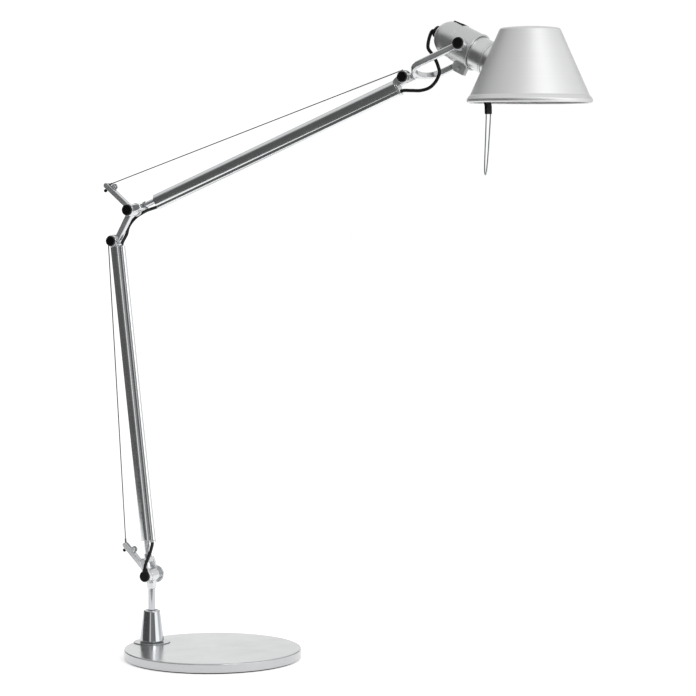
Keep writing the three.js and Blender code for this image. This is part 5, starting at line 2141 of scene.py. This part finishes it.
@dataclass
class Leads(Assembly):
    """The black lead, in the stretches where it leaves the arms."""

    radius: float = LEAD_R

    def pieces(self) -> list:
        """The four lengths; all but the lowest cross a joint.

        Returns:
            A list of Piece.
        """

        def upper(s: float, y: float, v: float) -> np.ndarray:
            return at(UPPER, s, y, v)

        def lower(u: float, y: float, s: float) -> np.ndarray:
            return at(LOWER, u, y, s)

        channel_v, channel_u = UPPER_TUBE_V - CHANNEL_OFF, LOWER_TUBE_U + CHANNEL_OFF
        middle = upper(*LEAD_MIDDLE)
        heading = LEAD_HEADING / np.linalg.norm(LEAD_HEADING)
        grip_out, grip_end = at(HEAD, -53, 0, -1.6), at(HEAD, -48.9, 0, 0)
        to_fork = [
            upper(UPPER_TUBE_END - 8, 0, channel_v),
            upper(UPPER_TUBE_END + 4, 0, channel_v - 0.4),
            *[upper(*p) for p in LEAD_BELOW],
            middle - heading * 2.5,
            middle + heading * 2.2,
        ]
        to_head = [
            middle - heading * 2.2,
            middle + heading * 2.5,
            *[upper(*p) for p in LEAD_ABOVE],
            grip_out,
            grip_end,
        ]
        elbow = [
            upper(UPPER_TUBE_START + 8, 0, channel_v),
            upper(UPPER_TUBE_START - 2, 0.6, channel_v + 0.2),
            upper(21, 4.4, -7.6),
            upper(12.5, 9.4, -6),
            upper(4, 13.4, -5.4),
            upper(-5, 14.6, -6),
            upper(-13, 12.8, -9.4),
            lower(11, 10, 398),
            lower(9.1, 7.4, 390),
            lower(channel_u + 0.8, 1.9, LOWER_TUBE_END + 4.6),
            lower(channel_u, 0, LOWER_TUBE_END - 0.5),
            lower(channel_u, 0, LOWER_TUBE_END - 8),
        ]
        base = [
            lower(channel_u, 0, LOWER_TUBE_START + 8),
            lower(channel_u, -0.5, LOWER_TUBE_START - 3.5),
            lower(5.4, -5.4, 28),
            lower(4.8, -11, 21),
            lower(3.6, -16, 14),
            lower(*ENTRY, 10.2),
            lower(*ENTRY, 7.4),
        ]

        def stretch(name: str, node: str, points: list, bodies: object) -> Piece:
            shape = tube(points, self.radius, 20, 10)
            ends = (points[1], points[-2])
            return Piece(name, shape, bodies, "lead", (node,), bend=ends)

        return [
            stretch("lead_into_head", "lead_to_head", to_head, ("fork", "head")),
            stretch("lead_under_fork", "lead_to_fork", to_fork, ("upper_arm", "fork")),
            stretch("lead_round_elbow", "lead_at_elbow", elbow, ("upper_arm", "lower_arm")),
            stretch("lead_round_base", "lead_at_base", base, "lower_arm"),
        ]


def paint_kept_nodes() -> None:
    """Gives the nodes that stay hidden inside the lamp their materials."""
    for node, key in {"base_weight": "iron", "lower_spring": "steel", "upper_spring": "steel"}.items():
        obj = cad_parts[node]
        obj.data.materials.clear()
        obj.data.materials.append(finish(key))


# ------------------------------------------------------------------ studio
@dataclass
class Softbox:
    """One soft rectangular light.

    Attributes:
        name: light name.
        place: where it stands, in metres.
        aim: what it points at.
        size: width and height.
        power: watts.
    """

    name: str
    place: tuple
    aim: tuple
    size: tuple
    power: float

    def build(self) -> None:
        """Adds the light."""
        data = bpy.data.lights.new(self.name, "AREA")
        data.shape, data.size, data.size_y = "RECTANGLE", self.size[0], self.size[1]
        data.energy = self.power
        obj = bpy.data.objects.new(self.name, data)
        obj.location = self.place
        obj.rotation_euler = (Vector(self.aim) - Vector(self.place)).to_track_quat("-Z", "Y").to_euler()
        bpy.context.scene.collection.objects.link(obj)


TOWARDS_CAMERA = (0.502, -0.865, 0.0)
CAMERA_RIGHT = (0.8894, 0.4571, 0.0)
# Brightness of the surroundings by angle from the camera's side, degrees, positive to the right:
# white backdrop behind the lamp, grey room on the left, one narrow and one wide softbox on the right.
ROOM = (
    (-180, 1.1), (-158, 1.1), (-152, 0.03), (-136, 0.03), (-128, 0.13), (-60, 0.1), (-34, 0.12),
    (-22, 0.16), (-16, 0.95), (-8, 0.95), (-5, 0.3), (38, 0.25), (44, 1.7),
    (75, 1.7), (82, 0.9), (140, 0.8), (146, 0.04), (154, 0.04), (160, 1.1), (180, 1.1),
)


@dataclass
class Studio:
    """Pale back-lit floor, a studio drawn in the world, one softbox and the camera."""

    lights: list = field(
        default_factory=lambda: [Softbox("key", (2.4, -1.6, 1.9), (0.1, 0, 0.4), (1.2, 1.2), 22)]
    )
    floor_glow: float = 0.42
    floor_side: float = 0.9
    floor_front: float = 0.33
    floor_back: float = 2.2

    def floor(self) -> None:
        """A pale table of back-lit acrylic, square to the camera."""
        mesh = bpy.data.meshes.new("studio_floor")
        right, near = np.array(CAMERA_RIGHT), np.array(TOWARDS_CAMERA)
        s, front, back = self.floor_side, self.floor_front, -self.floor_back
        corners = [right * a + near * b for a, b in ((-s, front), (s, front), (s, back), (-s, back))]
        mesh.from_pydata([tuple(c) for c in corners], [], [(0, 1, 2, 3)])
        floor = bpy.data.objects.new("studio_floor", mesh)
        g = Graph("pale_floor")
        speck = g.noise((0.002, 0.002, 0.002), 2, 0.5)
        white = g.colours(speck, "#F7F7F7", "#FAFAFA")
        mesh.materials.append(
            g.surface(
                {"Base Color": white, "Emission Color": white},
                {"Roughness": 0.9, "Emission Strength": self.floor_glow},
            )
        )
        bpy.context.scene.collection.objects.link(floor)

    def world(self) -> None:
        """The surroundings: ROOM by compass angle, with a soft white ceiling above 25 degrees."""
        world = bpy.data.worlds.new("studio_world")
        world.use_nodes = True
        tree = world.node_tree
        back = tree.nodes["Background"]
        where = tree.nodes.new("ShaderNodeTexCoord")
        sides = []
        for direction in (CAMERA_RIGHT, TOWARDS_CAMERA):
            dot = tree.nodes.new("ShaderNodeVectorMath")
            dot.operation = "DOT_PRODUCT"
            dot.inputs[1].default_value = direction
            tree.links.new(where.outputs["Generated"], dot.inputs[0])
            sides.append(dot.outputs["Value"])
        angle = tree.nodes.new("ShaderNodeMath")
        angle.operation = "ARCTAN2"
        share = tree.nodes.new("ShaderNodeMath")
        share.operation = "MULTIPLY_ADD"
        share.inputs[1].default_value, share.inputs[2].default_value = 0.5 / math.pi, 0.5
        tree.links.new(sides[0], angle.inputs[0])
        tree.links.new(sides[1], angle.inputs[1])
        tree.links.new(angle.outputs[0], share.inputs[0])
        ramp = tree.nodes.new("ShaderNodeValToRGB").color_ramp
        ramp_node = tree.nodes[-1]
        for degrees, value in ROOM:
            place = 0.5 + degrees / 360
            stop = ramp.elements[0] if degrees == -180 else ramp.elements.new(place)
            stop.position = place
            stop.color = (value, value, value, 1)
        ramp.elements.remove(ramp.elements[-1])
        tree.links.new(share.outputs[0], ramp_node.inputs["Fac"])
        split = tree.nodes.new("ShaderNodeSeparateXYZ")
        tree.links.new(where.outputs["Generated"], split.inputs[0])
        height = tree.nodes.new("ShaderNodeMapRange")
        height.interpolation_type = "SMOOTHSTEP"
        height.inputs["From Min"].default_value = 0.35
        height.inputs["From Max"].default_value = 0.62
        tree.links.new(split.outputs["Z"], height.inputs["Value"])
        mix = tree.nodes.new("ShaderNodeMix")
        mix.data_type = "RGBA"
        mix.inputs[7].default_value = (0.8, 0.8, 0.8, 1)
        tree.links.new(height.outputs["Result"], mix.inputs["Factor"])
        tree.links.new(ramp_node.outputs["Color"], mix.inputs[6])
        tree.links.new(mix.outputs[2], back.inputs["Color"])
        bpy.context.scene.world = world

    def camera(self) -> None:
        """The camera, from its place and its three directions."""
        data = bpy.data.cameras.new("view_camera")
        data.sensor_width, data.lens = 36.0, 138.0
        obj = bpy.data.objects.new("view_camera", data)
        place = np.array((1.50324, -2.58984, 0.55136))
        right = np.array((0.8894041, 0.45712181, 0.0))
        up = np.array((-0.03046032, 0.05926545, 0.99777742))
        ahead = np.array((-0.45610582, 0.88742733, -0.06663501))
        m = np.eye(4)
        m[:3, 0], m[:3, 1], m[:3, 2], m[:3, 3] = right, up, -ahead, place
        obj.matrix_world = Matrix(m.tolist())
        bpy.context.scene.collection.objects.link(obj)
        bpy.context.scene.camera = obj

    def build(self) -> None:
        """Builds the whole studio."""
        self.floor()
        self.world()
        for light in self.lights:
            light.build()
        self.camera()
        bpy.context.scene.view_settings.view_transform = "Standard"


def main() -> None:
    """Builds the lamp and the studio."""
    logging.basicConfig(level=logging.INFO, format="%(name)s %(message)s")
    base_pin = at(POST, BASE_LEVER_END[0], 0, BASE_LEVER_END[1])
    elbow_pin = at(ELBOW_WORLD, ELBOW_LEVER_END[0], 0, ELBOW_LEVER_END[1])
    assemblies = [
        Base(),
        Post(),
        LowerArm(),
        UpperArm(),
        BalanceCable("lower_cable", base_pin, at(LOWER, LOWER_PULLEY[0], 0, LOWER_PULLEY[1])),
        BalanceCable("upper_cable", elbow_pin, at(UPPER, UPPER_PULLEY[0], 0, UPPER_PULLEY[1])),
        Fork(),
        Head(),
        ShadeUnit(),
        Leads(),
    ]
    Studio().build()
    for assembly in assemblies:
        built = assembly.build()
        LOG.info("%s: %d pieces", type(assembly).__name__, len(built))
    paint_kept_nodes()


if __name__ == "__main__":
    main()
